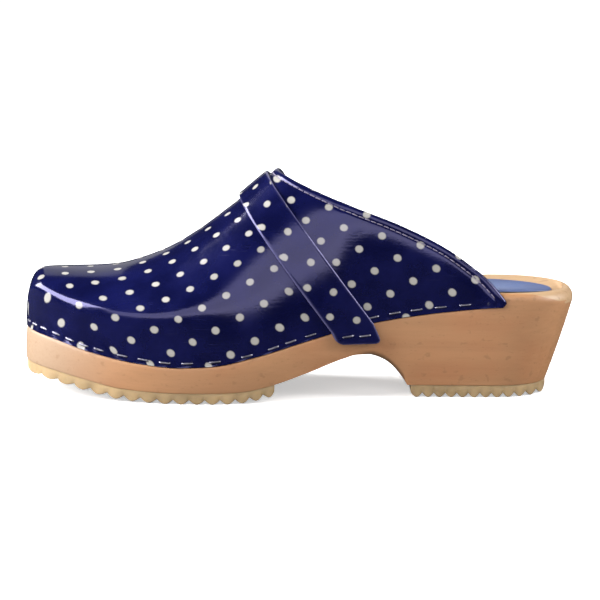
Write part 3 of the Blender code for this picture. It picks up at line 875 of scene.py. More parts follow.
def mixed(tree, factor, one, two, blend="MIX"):
    """One colour over another by a factor."""
    made = node(tree, "ShaderNodeMix", data_type="RGBA", blend_type=blend)
    colours = [socket for socket in made.inputs if socket.type == "RGBA"]
    for socket, value in zip([made.inputs[0], *colours], (factor, one, two)):
        fill(tree, socket, value)
    return next(socket for socket in made.outputs if socket.type == "RGBA")


def noise(tree, place, scale, detail=3.0, roughness=0.55):
    values = {"Vector": place, "Scale": scale, "Detail": detail, "Roughness": roughness}
    return node(tree, "ShaderNodeTexNoise", values).outputs[0]


def stretched(tree, place, scale):
    """A place in the object, drawn out along its axes."""
    return node(tree, "ShaderNodeMapping", {"Vector": place, "Scale": scale}).outputs[0]


def shade(tone, share=1.0):
    """A colour at a share of its brightness, as a socket takes it."""
    return (*(share * c for c in tone), 1.0)


def object_place(tree):
    return node(tree, "ShaderNodeTexCoord").outputs["Object"]


def attribute(tree, name):
    return node(tree, "ShaderNodeAttribute", attribute_name=name).outputs["Fac"]


def new_material(name):
    """A material, its node tree and its shader."""
    material = bpy.data.materials.new(name)
    material.use_nodes = True
    return material, material.node_tree, material.node_tree.nodes["Principled BSDF"]


def feed(tree, shader, **sockets):
    """Links or sets a shader's inputs by their names, with _ for spaces."""
    for key, value in sockets.items():
        fill(tree, shader.inputs[key.replace("_", " ")], value)


def bump(tree, height, strength, distance):
    values = {"Height": height, "Strength": strength, "Distance": distance}
    return node(tree, "ShaderNodeBump", values).outputs[0]


def new_group(name, inputs, outputs, kind="ShaderNodeTree"):
    """A node group with its sockets, and its input and output nodes."""
    group = bpy.data.node_groups.new(name, kind)
    for way, sockets in (("INPUT", inputs), ("OUTPUT", outputs)):
        for key, socket in sockets.items():
            group.interface.new_socket(key, in_out=way, socket_type=socket)
    return group, group.nodes.new("NodeGroupInput"), group.nodes.new("NodeGroupOutput")


def grain_group():
    """Pebbled leather grain: a height, and a mottle of the colour."""
    name = "Leather grain"
    if name in bpy.data.node_groups:
        return bpy.data.node_groups[name]
    group, taken, given = new_group(
        name,
        {"Place": "NodeSocketVector", "Scale": "NodeSocketFloat"},
        {"Height": "NodeSocketFloat", "Mottle": "NodeSocketFloat"},
    )
    wander = {0: noise(group, taken.outputs["Place"], *GRAIN["wander"]), "Scale": GRAIN["wander_by"]}
    shifted = node(group, "ShaderNodeVectorMath", wander, operation="SCALE").outputs[0]
    place = vector(group, "ADD", taken.outputs["Place"], shifted)
    values = {"Vector": place, "Scale": taken.outputs["Scale"]}
    pebbles = node(group, "ShaderNodeTexVoronoi", values, feature="SMOOTH_F1").outputs["Distance"]
    fibres = times(group, noise(group, place, *GRAIN["fibres"]), GRAIN["fibre_share"])
    height = plus(group, times(group, pebbles, GRAIN["pebble_share"]), fibres)
    mottle = ranged(group, noise(group, place, *GRAIN["mottle"]), *NOISE_SPAN)
    group.links.new(height, given.inputs["Height"])
    group.links.new(mottle, given.inputs["Mottle"])
    return group


def wear_group():
    """Rubbed patches and fine scuff lines: a mask."""
    name = "Handling wear"
    if name in bpy.data.node_groups:
        return bpy.data.node_groups[name]
    group, taken, given = new_group(name, {"Place": "NodeSocketVector"}, {"Mask": "NodeSocketFloat"})
    lines = noise(group, stretched(group, taken.outputs["Place"], WEAR["stretch"]), *WEAR["lines"])
    patches = ranged(group, noise(group, taken.outputs["Place"], WEAR["patches"]), *WEAR["patch_span"])
    mask = times(group, ranged(group, lines, *WEAR["line_span"]), patches)
    group.links.new(mask, given.inputs["Mask"])
    return group


def placed_group(tree, group, **values):
    return node(tree, "ShaderNodeGroup", values, node_tree=group).outputs


# Materials

def leather_parts(name, context, pebble):
    """A leather's material, tree, shader, place, grain at a share of the usual fineness, and wear."""
    material, tree, shader = new_material(name)
    place = object_place(tree)
    grain = placed_group(tree, grain_group(), Place=place, Scale=pebble / context.scene.clog_sizes.grain)
    wear = placed_group(tree, wear_group(), Place=place)["Mask"]
    return material, tree, shader, place, grain, wear


def dot_mask(tree, sizes):
    """One inside a printed dot, from the piece's own chart of dots."""
    middle = (0.5, 0.5, 0.0)
    chart = node(tree, "ShaderNodeUVMap", uv_map="dots").outputs[0]
    cell = vector(tree, "FRACTION", vector(tree, "ADD", chart, middle))
    away = vector(tree, "LENGTH", vector(tree, "SUBTRACT", cell, middle))
    ragged = times(tree, noise(tree, object_place(tree), *DOT_EDGE["rag"]), DOT_EDGE["ragged"])
    radius = 0.5 * sizes.dot / (DOT_PITCH * MM)
    return ranged(tree, plus(tree, away, ragged), radius + DOT_EDGE["outside"], radius - DOT_EDGE["inside"])


def printed_leather(name, context):
    """Glossy navy leather printed with cream dots."""
    colours = context.scene.clog_colours
    look = PRINTED
    material, tree, shader, place, grain, wear = leather_parts(name, context, 1.0)
    cut = attribute(tree, "cut")
    bare = maths(tree, "MAXIMUM", cut, attribute(tree, "bare"))
    dots = times(tree, dot_mask(tree, context.scene.clog_sizes), maths(tree, "SUBTRACT", 1.0, bare))
    deep = shade(colours.navy, look["deep"])
    leather = mixed(tree, grain["Mottle"], deep, shade(colours.navy, look["bright"]))
    leather = mixed(tree, times(tree, wear, look["worn"]), leather, shade(colours.worn))
    # Cut edges and the strap's flesh side: raw leather, with a painted highlight along the edges.
    leather = mixed(tree, cut, leather, shade(colours.cut_edge_and_highlight))
    cream = mixed(tree, grain["Mottle"], shade(colours.cream), shade(colours.cream, look["faded"]))
    roughness = ranged(tree, grain["Mottle"], 0.0, 1.0, *look["rough"])
    roughness = plus(tree, roughness, times(tree, wear, look["worn_rougher"]))
    roughness = plus(tree, roughness, times(tree, dots, look["dots_rougher"]))
    scuffs = noise(tree, stretched(tree, place, look["stretch"]), *look["scuffs"])
    relief = plus(tree, grain["Height"], times(tree, dots, look["dot_relief"]))
    relief = plus(tree, relief, times(tree, scuffs, look["scuff_relief"]))
    feed(
        tree, shader,
        Base_Color=mixed(tree, dots, leather, cream),
        Roughness=roughness,
        Normal=bump(tree, relief, *look["bump"]),
        Specular_IOR_Level=look["specular"],
        Specular_Tint=shade(look["tint"]),
    )
    return material


def wood_layer(tree, place, name):
    """The noise of one layer of the wood's figure, how far it shows, and its share of the wood's colour."""
    stretch, detail, roughness, span, strength, share = WOOD_LAYERS[name]
    pattern = noise(tree, stretched(tree, place, stretch), 1.0, detail, roughness)
    return pattern, ranged(tree, pattern, *span, 0.0, strength), share


def carved_alder(context):
    """Sanded alder: long faint figure, short pores, painted top light on the sanded rim and footbed, a
    painted sheen at the toe and painted shade on the breast.
    """
    colours = context.scene.clog_colours
    alder = colours.alder
    material, tree, shader = new_material("carved_alder")
    place = object_place(tree)
    blush = noise(tree, stretched(tree, place, WOOD_BLUSH["stretch"]), 1.0)
    blush = times(tree, ranged(tree, blush, *WOOD_BLUSH["span"]), WOOD_BLUSH["strength"])
    red = shade([tint * c for tint, c in zip(WOOD_BLUSH["tint"], alder)])
    wood = mixed(tree, blush, shade(alder), red)
    _, shows, share = wood_layer(tree, place, "figure")
    wood = mixed(tree, shows, wood, shade(alder, share))
    # Painted highlight: the wood turns paler towards the toe end.
    along = node(tree, "ShaderNodeSeparateXYZ", {0: place}).outputs["X"]
    toe = ranged(tree, along, *WOOD_TOE_SHEEN["span"], 0.0, WOOD_TOE_SHEEN["strength"])
    wood = mixed(tree, toe, wood, shade(colours.toe_sheen_alder))
    # Painted top light: the sanded rim and footbed turn paler, with a ragged edge towards the shaded side.
    ragged = times(tree, noise(tree, place, *WOOD_SANDED_TOP_LIT["ragged"]), WOOD_SANDED_TOP_LIT["ragged_by"])
    sanded_top_lit_share = ranged(tree, plus(tree, attribute(tree, "sanded"), ragged), *WOOD_SANDED_TOP_LIT["span"])
    wood = mixed(tree, sanded_top_lit_share, wood, shade(colours.sanded_top_lit_alder))
    streaks, shows, share = wood_layer(tree, place, "streaks")
    wood = mixed(tree, shows, wood, shade(alder, share))
    _, shows, share = wood_layer(tree, place, "flecks")
    wood = mixed(tree, shows, wood, shade(alder, share))
    # Painted shade along the rounded lower edge of the heel's breast.
    breast = ranged(tree, attribute(tree, "breast"), *WOOD_BREAST_SHADE["span"], 0.0, WOOD_BREAST_SHADE["strength"])
    wood = mixed(tree, breast, wood, shade(alder, WOOD_BREAST_SHADE["share"]))
    _, pores, share = wood_layer(tree, place, "pores")
    height = maths(tree, "SUBTRACT", times(tree, streaks, WOOD_SURFACE["streak_relief"]), pores)
    feed(
        tree, shader,
        Base_Color=mixed(tree, pores, wood, shade(alder, share)),
        Roughness=ranged(tree, streaks, *NOISE_SPAN, *WOOD_SURFACE["rough"]),
        Normal=bump(tree, height, *WOOD_SURFACE["bump"]),
        Specular_IOR_Level=WOOD_SURFACE["specular"],
    )
    return material


def honey_rubber(context):
    """Crepe-like honey rubber, a little cloudy, with painted shade in the grooves."""
    honey = context.scene.clog_colours.honey
    look = RUBBER
    material, tree, shader = new_material("honey_rubber")
    place = object_place(tree)
    cloud = ranged(tree, noise(tree, place, *look["cloud"]), *NOISE_SPAN)
    crumb = noise(tree, place, look["crumb"])
    rubber = mixed(tree, cloud, shade(honey, look["dull"]), shade(honey, look["clear"]))
    # Painted shade: the rubber is darker down between the ribs.
    shade_in_grooves = times(tree, attribute(tree, "groove_shade"), look["shade_in_grooves"])
    feed(
        tree, shader,
        Base_Color=mixed(tree, shade_in_grooves, rubber, shade(honey, look["groove_shade_share"])),
        Roughness=ranged(tree, crumb, *NOISE_SPAN, *look["rough"]),
        Normal=bump(tree, crumb, *look["bump"]),
        Subsurface_Weight=look["glow"],
        Subsurface_Radius=look["depth"],
        Subsurface_Scale=1.0,
    )
    return material


def pad_leather(context):
    """Blue leather of the heel pad, rubbed paler in the middle."""
    colours = context.scene.clog_colours
    look = PAD_LOOK
    material, tree, shader, _, grain, wear = leather_parts("pad_leather", context, look["pebble"])
    deep = shade(colours.pad_blue, look["deep"])
    blue = mixed(tree, grain["Mottle"], deep, shade(colours.pad_blue, look["bright"]))
    rubbed = times(tree, attribute(tree, "rubbed"), look["rubbed"])
    blue = mixed(tree, rubbed, blue, shade(colours.pad_rubbed))
    feed(
        tree, shader,
        Base_Color=mixed(tree, times(tree, wear, look["worn"]), blue, shade(colours.pad_worn)),
        Roughness=ranged(tree, grain["Mottle"], 0.0, 1.0, *look["rough"]),
        Normal=bump(tree, grain["Height"], *look["bump"]),
    )
    return material


def lining_leather(context):
    """Undyed lining with a short nap."""
    tan = context.scene.clog_colours.lining
    look = LINING_LOOK
    material, tree, shader, _, grain, wear = leather_parts("lining_leather", context, look["pebble"])
    lining = mixed(tree, grain["Mottle"], shade(tan, look["deep"]), shade(tan, look["bright"]))
    feed(
        tree, shader,
        Base_Color=mixed(tree, times(tree, wear, look["worn"]), lining, shade(tan, look["worn_share"])),
        Roughness=ranged(tree, grain["Mottle"], 0.0, 1.0, *look["rough"]),
        Normal=bump(tree, grain["Height"], *look["bump"]),
    )
    return material


def staple_steel(context):
    """Drawn steel wire, dulled in places."""
    steel = context.scene.clog_colours.steel
    material, tree, shader = new_material("staple_steel")
    dull = noise(tree, object_place(tree), STEEL["dull"])
    shows = ranged(tree, dull, *STEEL["span"])
    feed(
        tree, shader,
        Base_Color=mixed(tree, shows, shade(steel), shade(steel, STEEL["dull_share"])),
        Roughness=ranged(tree, dull, *NOISE_SPAN, *STEEL["rough"]),
        Metallic=1.0,
    )
    return material


def sewing_thread(context):
    """Waxed thread with a fine twist."""
    thread = context.scene.clog_colours.thread
    material, tree, shader = new_material("sewing_thread")
    place = object_place(tree)
    twist = noise(tree, place, *THREAD["twist"])
    tone = ranged(tree, noise(tree, place, *THREAD["tone"]), *THREAD["span"])
    feed(
        tree, shader,
        Base_Color=mixed(tree, tone, shade(thread), shade(thread, THREAD["tone_share"])),
        Roughness=ranged(tree, twist, *NOISE_SPAN, *THREAD["rough"]),
        Normal=bump(tree, twist, *THREAD["bump"]),
    )
    return material


def studio_floor(context):
    """White to the camera, and dimmer in what the shoe reflects, like a small table in a dark room."""
    material, tree, shader = new_material("studio_floor")
    place = object_place(tree)
    path = node(tree, "ShaderNodeLightPath").outputs
    seen = path["Is Camera Ray"]
    tone = ranged(tree, noise(tree, place, *FLOOR_TONE["cloud"]), *NOISE_SPAN, *FLOOR_TONE["shares"])
    bounces = (FLOOR_BOUNCE["diffuse"], FLOOR_BOUNCE["glossy"])
    bounce = ranged(tree, path["Is Glossy Ray"], 0.0, 1.0, *bounces, "LINEAR")
    tone = times(tree, tone, maths(tree, "MAXIMUM", seen, bounce))
    away = vector(tree, "LENGTH", place)
    lit = ranged(tree, away, *FLOOR_GLOW["reach"], *FLOOR_GLOW["strength"])
    feed(
        tree, shader,
        Base_Color=mixed(tree, 1.0, shade(context.scene.clog_colours.floor), tone, "MULTIPLY"),
        Emission_Color=times(tree, lit, seen),
        Emission_Strength=1.0,
        Roughness=FLOOR_TONE["rough"],
        Specular_IOR_Level=FLOOR_TONE["specular"],
    )
    return material


# Upper

def hem_pace(v):
    """Station step at each v that goes one millimetre away from the topline."""
    rear = topline_station(v)
    edge = on_last(rear, v)
    near = on_last(rear + HEM_PROBE, v)
    away = np.array([np.min(np.linalg.norm(edge - p, axis=1)) for p in near])
    return HEM_PROBE / np.maximum(away, HEM_PROBE_LEAST * HEM_PROBE)


def upper_chart():
    """Station, v and distance from the topline for each point of the upper, row by row from the toe."""
    v = np.linspace(-1.0, 1.0, CHART_TURNS)
    rear = topline_station(v)
    pace = hem_pace(v)
    hem = rear + HEM_ROWS[0] * pace
    shares = (np.arange(1, UPPER_ROWS) / UPPER_ROWS) ** ROW_CROWDING
    lines = [TOE_TIP - (TOE_TIP - hem) * share for share in shares] + [rear + w * pace for w in HEM_ROWS]
    stations, turns, away = [], [], []
    for line in lines:
        along = walked(on_last(line, v))
        steps = np.linspace(0.0, along[-1], UPPER_COLUMNS + 1)
        found = np.interp(steps, along, v)
        stations.append(np.interp(found, v, line))
        turns.append(found)
        away.append((stations[-1] - np.interp(found, v, rear)) / np.interp(found, v, pace))
    return np.array(stations), np.array(turns), np.array(away)


def step_of(grid, values):
    """The step of a rising grid that holds each value, and the value's share of the way through it."""
    i = np.clip(np.searchsorted(grid, values) - 1, 0, len(grid) - 2)
    return i, np.clip((values - grid[i]) / (grid[i + 1] - grid[i]), 0.0, 1.0)


def ridge_and_girth(s, v):
    """Distance along the ridge from the throat, and round the section from the ridge."""
    at = np.linspace(GIRTH_TABLE["rear"], TOE_TIP - GIRTH_TABLE["short"], GIRTH_TABLE["stations"])
    turn = np.linspace(0.0, 1.0, GIRTH_TABLE["turns"])
    table = walked(on_last(at[:, None], -turn[None, :]))
    ridge = walked(on_last(at, np.zeros_like(at)))
    i, p = step_of(at, s)
    j, q = step_of(turn, np.abs(v))
    rear = table[i, j] * (1 - q) + table[i, j + 1] * q
    front = table[i + 1, j] * (1 - q) + table[i + 1, j + 1] * q
    return np.interp(s, at, ridge) - np.interp(THROAT_AT, at, ridge), rear * (1 - p) + front * p


def vamp_dots(s, v):
    """Column and row of the printed dots ahead of the strap."""
    along, girth = ridge_and_girth(s, v)
    low = np.full_like(along, DOT_COLUMNS[0][0])
    high = np.full_like(along, DOT_COLUMNS[-1][0])
    for _ in range(HALVINGS):
        root = 0.5 * (low + high)
        row = dot_row(girth) * dot_squeeze(root)
        short = root - dot_lean(root) * row - dot_bow(root) * row**2 < along
        low = np.where(short, root, low)
        high = np.where(short, high, root)
    return np.array([dot_column(root), row])


def wing_dots(s, height):
    """Column and row of the printed dots behind the strap."""
    spot = np.stack([s - WING_DOT["station"], height - WING_DOT["height"]]).reshape(2, -1)
    lattice = np.transpose([WING_COLUMN_STEP, WING_ROW_STEP])
    found = np.linalg.solve(lattice, spot)
    for _ in range(WING_BEND_ROUNDS):
        reach = np.clip(found[1], -WING_BEND_REACH, WING_BEND_REACH)
        found = np.linalg.solve(lattice, spot - np.outer(WING_BEND, reach**2))
    column, row = found.reshape((2,) + s.shape)
    return np.array([WING_DOT["column"] + column, WING_DOT["row"] + row])


def dot_chart(s, v):
    """Column and row of the printed dots at points of the upper, as pairs."""
    height = last_point(s, v)[2]
    ahead = s > 0.5 * (strap_station(STRAP_REAR, height) + strap_station(STRAP_FRONT, height))
    column, row = np.where(ahead, vamp_dots(s, v), wing_dots(s, height))
    return np.stack([column, row * np.where(v > 0, -1.0, 1.0)], axis=-1).reshape(-1, 2)


def lower_edge_staples(side):
    """Stations of the staples on one side, as far back as its wing goes."""
    return [s for s in STAPLES if s > wing_end(side) + STAPLE_CLEAR * staple_above(s)]


def pucker(stations, points):
    """How far the leather is drawn in at the staples and swells between them, along both lower edges."""
    moved = np.zeros(stations.shape)
    along = walked(points)
    for side, column in ((LATERAL, 0), (MEDIAL, -1)):
        up = along if side == LATERAL else along[:, -1:] - along
        edge = walked(points[:, column])
        staples = np.interp([-s for s in lower_edge_staples(side)], -stations[:, column], edge)
        nearest = np.min(np.abs(edge[:, None] - staples[None, :]), axis=1)[:, None]
        above = staple_above(stations)
        between = 1.0 - hump(nearest, PUCKER_SWELL_ALONG * PUCKER_ALONG)
        swell = PUCKER_SWELL * between * hump(up - above, PUCKER_SWELL_UP * PUCKER_UP)
        depth = PUCKER_DEPTH + PUCKER_TOE_DEPTH * toe_share(stations)
        pull = -depth * hump(nearest, PUCKER_ALONG) * hump(up - above, PUCKER_UP)
        flare = LIP_FLARE + LIP_TOE_FLARE * toe_share(stations)
        flare *= LIP_AT_STAPLES + (1.0 - LIP_AT_STAPLES) * between
        moved += pull + swell * smooth(up / above) + flare * hump(up, LIP_UP)
    return moved


def creased(points):
    """Soft troughs across the wing on the lateral side."""
    moved = np.zeros(points.shape[:2])
    for s1, v1, s2, v2, width, depth in CREASES:
        one = on_last(s1, v1)
        two = on_last(s2, v2)
        share = np.clip(((points - one) @ (two - one)) / np.sum((two - one) ** 2), 0.0, 1.0)
        away = np.linalg.norm(points - one - share[..., None] * (two - one), axis=2)
        moved -= depth * hump(away, width) * (CREASE_ENDS + (1.0 - CREASE_ENDS) * np.sin(np.pi * share))
    return moved


def waves(s, v):
    """How far the leather's slow unevenness lifts it."""
    moved = np.zeros_like(s)
    for depth, *crossed in WAVES:
        one, two = (np.sin(s / run + turn * v + start) for run, turn, start in crossed)
        moved += depth * one * two
    return moved


def upper_surface(context):
    """The upper's points and normals with their chart, after all that shapes the leather."""
    stations, turns, away = upper_chart()
    points = on_last(stations, turns)
    facing = normals(points)
    inset = context.scene.clog_sizes.stitch_inset / MM
    moved = pucker(stations, points) + creased(points) + waves(stations, turns) * smooth(away / HEM_FROM)
    moved += HEM_SWELL * hump(away - 0.5 * inset, HEM_SWELL_RUN * inset)
    moved -= SEAM_DEPTH * hump(away - inset, SEAM_WIDTH)
    roll = ROLL_DEPTH * smooth((THROAT_AT - stations) / ROLL_FADE)
    moved -= roll * np.clip(1.0 - away / ROLL_RUN, 0.0, 1.0) ** 2
    clear = smooth((points[:, :, 2] - rim(stations)) / HEM_OVER_RIM)
    return stations, turns, away, points + moved[..., None] * facing, facing, clear


def toe_tips(*depths):
    """Points at the tip of the toe at depths into the leather."""
    return [(TOE_TIP - depth, TOE_TIP_Y, float(ledge(LENGTH)) + SEAT_GAP) for depth in depths]


def make_upper(context):
    stations, turns, away, points, facing, clear = upper_surface(context)
    hem = smooth((HEM_FROM - away) / HEM_STEP + 0.5)
    wall = SHELL_WALL + (WALL - SHELL_WALL + (HEM_WALL - WALL) * clear) * hem
    fall = eased(away, EDGE_ROUND * HEM_WALL)
    outer = points - (fall * EDGE_FALL)[..., None] * facing
    inner = points - np.maximum(wall - fall, EDGE_KEPT * wall)[..., None] * facing
    mesh = slab("upper_shell", outer, inner, toe_tips(0.0, SHELL_WALL))
    chart = dot_chart(stations, turns)
    ends = dot_chart(np.array([TOE_TIP]), np.array([0.0]))
    lay_out(mesh, "dots", np.concatenate([chart, chart, ends, ends]))
    s = stations_of(mesh)[0]
    note(mesh, "bare", smooth((BARE_TO - s) / BARE_FADE))
    show("upper_shell", mesh, printed_leather("printed_upper", context), "upper_leather", "upper")


def make_lining(context):
    _, _, away, points, facing, _ = upper_surface(context)
    rows = int(np.sum(np.median(away, axis=1) > HEM_FROM - LINING_UNDER_HEM))
    depths = (SHELL_WALL + LINING_GAP, WALL)
    outer, inner = (points[:rows] - depth * facing[:rows] for depth in depths)
    mesh = slab("upper_lining", outer, inner, toe_tips(*depths))
    show("upper_lining", mesh, lining_leather(context), "lining_leather")


# Instep strap

def strap_lean(edge):
    """How far one edge of the strap runs forwards for each millimetre that it rises, in side view."""
    return (edge["high_at"] - edge["low_at"]) / (edge["high"] - edge["low"])


def strap_line(edge):
    """Height of one edge of the strap at a station."""
    return lambda s: edge["low"] + (np.asarray(s, float) - edge["low_at"]) / strap_lean(edge)


def strap_station(edge, z):
    """Station of one edge of the strap at a height."""
    return edge["low_at"] + (z - edge["low"]) * strap_lean(edge)


def tab_point(end, side, share, lift, step):
    """A point of a tab, a step of the way down from the upper's lower edge to the tab's end."""
    lean = np.interp(share, (0.0, 1.0), (strap_lean(STRAP_REAR), strap_lean(STRAP_FRONT)))
    z = end[2] + (TAB_BOTTOM + lift - end[2]) * step
    s = end[0] - (end[2] - z) * lean * TAB_LEAN
    onto_wood = smooth((ledge(s) - z - TAB_STEP_TO) / (TAB_STEP_FROM - TAB_STEP_TO))
    return (s, plan(s, side, 0.0)[1] + side * proud(s, side) * (1.0 - onto_wood), z)


def strap_shares():
    """Shares across the strap, close together at its edges."""
    half = np.array(STRAP_SHARES)
    return np.concatenate([half, 1.0 - half[-2::-1]])


def strap_grid():
    """Rows across the strap's inner face, from one tab over the instep to the other."""
    v = np.linspace(-1.0, 1.0, STRAP_TURNS)
    ahead = THROAT_AT + STRAP_SEARCH["ahead"]
    rear, front = (
        meeting(v, strap_line(edge), edge["low_at"] - STRAP_SEARCH["behind"], ahead)
        for edge in (STRAP_REAR, STRAP_FRONT)
    )
    width = STRAP_FRONT["low_at"] - STRAP_REAR["low_at"]
    steps = np.linspace(1.0, 0.0, STRAP_TAB_STEPS, endpoint=False) ** TAB_CROWDING
    columns = []
    for share in strap_shares():
        over = evenly(on_last(rear + (front - rear) * share, v), STRAP_ALONG + 1)
        from_side = min(share, 1.0 - share) * width
        lift = TAB_CORNER - np.sqrt(TAB_CORNER**2 - max(TAB_CORNER - from_side, 0.0) ** 2)
        first = [tab_point(over[0], LATERAL, share, lift, step) for step in steps]
        last = [tab_point(over[-1], MEDIAL, share, lift, step) for step in steps]
        columns.append(np.concatenate([first, over, last[::-1]]))
    return np.array(columns).transpose(1, 0, 2)


def make_strap(context):
    grid = strap_grid()
    facing = normals(grid)
    shares = strap_shares()
    along = walked(grid.transpose(1, 0, 2)).T
    from_end = np.minimum(along, along[-1] - along)
    from_side = np.minimum(shares, 1.0 - shares) * STRAP_WIDTH
    inside = np.minimum(from_end, from_side[None, :])
    inner = grid + SEAT_GAP * facing
    outer = inner + (STRAP - eased(inside, STRAP_EASE))[..., None] * facing
    mesh = slab("instep_strap_band", outer, inner)
    dots = STRAP_DOTS
    p = np.maximum(along + STRAP_LEAN * shares - dots["first_along"], -dots["plain"] * dots["along"])
    q = (shares * STRAP_WIDTH - dots["first_across"] - dots["drift"] * p) / dots["across"]
    p = p / dots["along"]
    chart = np.stack([p + q, p - q], axis=-1).reshape(-1, 2)
    lay_out(mesh, "dots", np.concatenate([chart, chart]))
    # The cut-edge mask also carries the painted highlight along the strap's edges.
    cut = hump(inside, STRAP_CUT).ravel()
    note(mesh, "cut", np.concatenate([cut, np.ones_like(cut)]))
    leather = printed_leather("printed_strap", context)
    show("instep_strap_band", mesh, leather, "strap_leather", "instep_strap")


# Wooden sole

def wood_stations():
    """Stations of the sole's rings, close together round the heel, the breast and the toe."""
    rings = WOOD_RINGS
    turn = np.linspace(rings["end_from"], 1.0, rings["end"]) * np.pi / 2
    heel = HEEL_ROUND_TO * (1.0 - np.cos(turn))
    toe = LENGTH - (LENGTH - TOE_ROUND_FROM) * (1.0 - np.cos(turn[::-1]))
    shank = np.linspace(HEEL_ROUND_TO, BREAST_AT, rings["shank"])[1:]
    shares = np.linspace(0.0, 1.0, rings["breast"])[1:] ** rings["breast_crowding"]
    breast = BREAST_AT + (WAIST_AT - BREAST_AT) * shares
    waist = np.linspace(WAIST_AT, TOE_ROUND_FROM, rings["waist"])[1:-1]
    return np.concatenate([heel, shank, breast, waist, toe])


def breast_share(s):
    """One on the breast of the heel, falling away to the arch."""
    return smooth((s - BREAST_AT) / BREAST_RISE) * smooth((WAIST_AT - s) / (WAIST_AT - BREAST_TO))


def wood_side(s, side):
    """Points up one side of the wood, with eased corners, from its underside to the edge of the footbed."""
    share = float(rebate(s, side))
    cut = REBATE * share
    wall = cut + REBATE_LEAN * share
    low = float(underside(s))
    top = float(rim(s))
    edge = float(rim_round(s))
    foot = min(float(ledge(s)), top - edge - SEAT_GAP)
    inset = float(taper(s))
    corner = LEDGE_EASE * share
    turn = quarter(WOOD_STEPS["corner"])
    ease = WOOD_EASE + BREAST_EASE * breast_share(s)
    profile = [(-inset - ease * (1.0 - np.sin(t)), low + ease * (1.0 - np.cos(t))) for t in turn]
    for z in np.linspace(low + ease, foot - corner, WOOD_STEPS["side"])[1:]:
        up = (z - low) / (foot - low)
        profile.append((-inset * (1.0 - up) + WOOD_BELLY * bowed(up), z))
    profile += [(-corner * (1.0 - np.cos(t)), foot - corner * (1.0 - np.sin(t))) for t in turn[1:]]
    profile.append((-cut, foot))
    profile += [(-cut + (cut - wall) * t, foot + (top - edge - foot) * t) for t in REBATE_STEPS]
    turn = quarter(WOOD_STEPS["edge"])
    profile += [(-wall - edge * (1.0 - np.cos(t)), top - edge * (1.0 - np.sin(t))) for t in turn]
    points = []
    for grow, z in profile:
        at, y = plan(s, side, grow)
        points.append((float(at + heel_shift(s, z)), float(y), z))
    return points


def wood_ring(s):
    """A ring round the sole: up its lateral side, over the dished footbed, down the medial side and back."""
    lateral = wood_side(s, LATERAL)
    medial = wood_side(s, MEDIAL)
    left = np.array(lateral[-1])
    right = np.array(medial[-1])
    shares = np.linspace(0.0, 1.0, WOOD_STEPS["footbed"])
    over = [left + (right - left) * t - (0.0, 0.0, FOOTBED_DISH * bowed(t)) for t in shares]
    left = np.array(lateral[0])
    right = np.array(medial[0])
    under = [right + (left - right) * t for t in np.linspace(0.0, 1.0, WOOD_STEPS["under"])]
    return lateral + over[1:-1] + medial[::-1] + under[1:-1]


def make_sole(context):
    mesh = loft("carved_sole", [wood_ring(s) for s in wood_stations()])
    s, y, z = stations_of(mesh)
    footbed_from = plan(s, LATERAL, -RIM_ROUND)[1]
    footbed_to = plan(s, MEDIAL, -RIM_ROUND)[1]
    seat = (y > footbed_from) & (y < footbed_to) & (z > rim(s) - FOOTBED_DEPTH)
    # The footbed and a band along the rear rim: sanded wood, painted paler as top light.
    note(mesh, "sanded", np.where(seat, FOOTBED_DISH, z - rim(s) + sanded_top_lit_rim(s)))
    # Painted shade: the breast's rounded lower edge, turned away from the light, is marked for darkening.
    edge = (y < plan(s, LATERAL, -BREAST_SHADE)[1]) | (y > plan(s, MEDIAL, -BREAST_SHADE)[1])
    above = np.clip((z - underside(s)) / BREAST_SHADE, 0.0, 1.0)
    note(mesh, "breast", np.where(edge, breast_share(s) * (1.0 - smooth(above)), 0.0))
    show("carved_sole", mesh, carved_alder(context), "wood", "wooden_sole")


# Rubber treads

def tread_half_widths(s_low):
    """Lateral and medial Y of a tread at a station of the underside."""
    s = np.linspace(PLAN_MARGIN, LENGTH - PLAN_MARGIN, PLAN_STEPS)
    inset = -taper(s) - TREAD_INSET
    shift = HEEL_UNDERCUT * np.clip(1.0 - s / BREAST_AT, 0.0, 1.0)
    sides = [plan(s, side, inset) for side in (LATERAL, MEDIAL)]
    return [float(np.interp(s_low, at + shift, y)) for at, y in sides]


def rib_station(tread, ribs):
    """Station at a count of ribs from the rear of a tread."""
    return tread["rear"] + (tread["front"] - tread["rear"]) * (ribs / tread["ribs"]) ** tread["widening"]


def tread_ring(tread, ribs):
    """A ring of a tread at a count of ribs from its rear, eased at its lower corners."""
    s = rib_station(tread, ribs)
    left, right = tread_half_widths(s)
    top = float(underside(s)) - TREAD_SEAM
    middle = rib_station(tread, min(np.floor(ribs), tread["ribs"] - 1.0) + 0.5)
    rise = tread["rear_rise"] * smooth((HEEL_RISE_TO - middle) / HEEL_RISE_TO)
    tooth = (0.5 - 0.5 * np.cos(2.0 * np.pi * ribs)) ** RIB_ROUND
    fade = RIB_TOE_FADE * smooth((s - RIB_TOE_FROM) / (LENGTH - RIB_TOE_FROM))
    tooth = 1.0 - (1.0 - tooth) * (1.0 - fade)
    base = float(underside(s)) - tread["base"]
    tip = float(underside(middle)) - tread["base"] - tread["rib"]
    floor = max(base + (tip - base) * tooth - SEAT_GAP + rise, 0.0)
    turn = quarter(TREAD_EASE_STEPS)
    ease = min(TREAD_EASE, TREAD_EASE_SHARE * (right - left))
    down = [(s, left + ease * (1.0 - np.cos(t)), floor + ease * (1.0 - np.sin(t))) for t in turn]
    up = [(s, right - ease * (1.0 - np.cos(t)), floor + ease * (1.0 - np.sin(t))) for t in turn[::-1]]
    return [(s, left, top)] + down + up + [(s, right, top)]


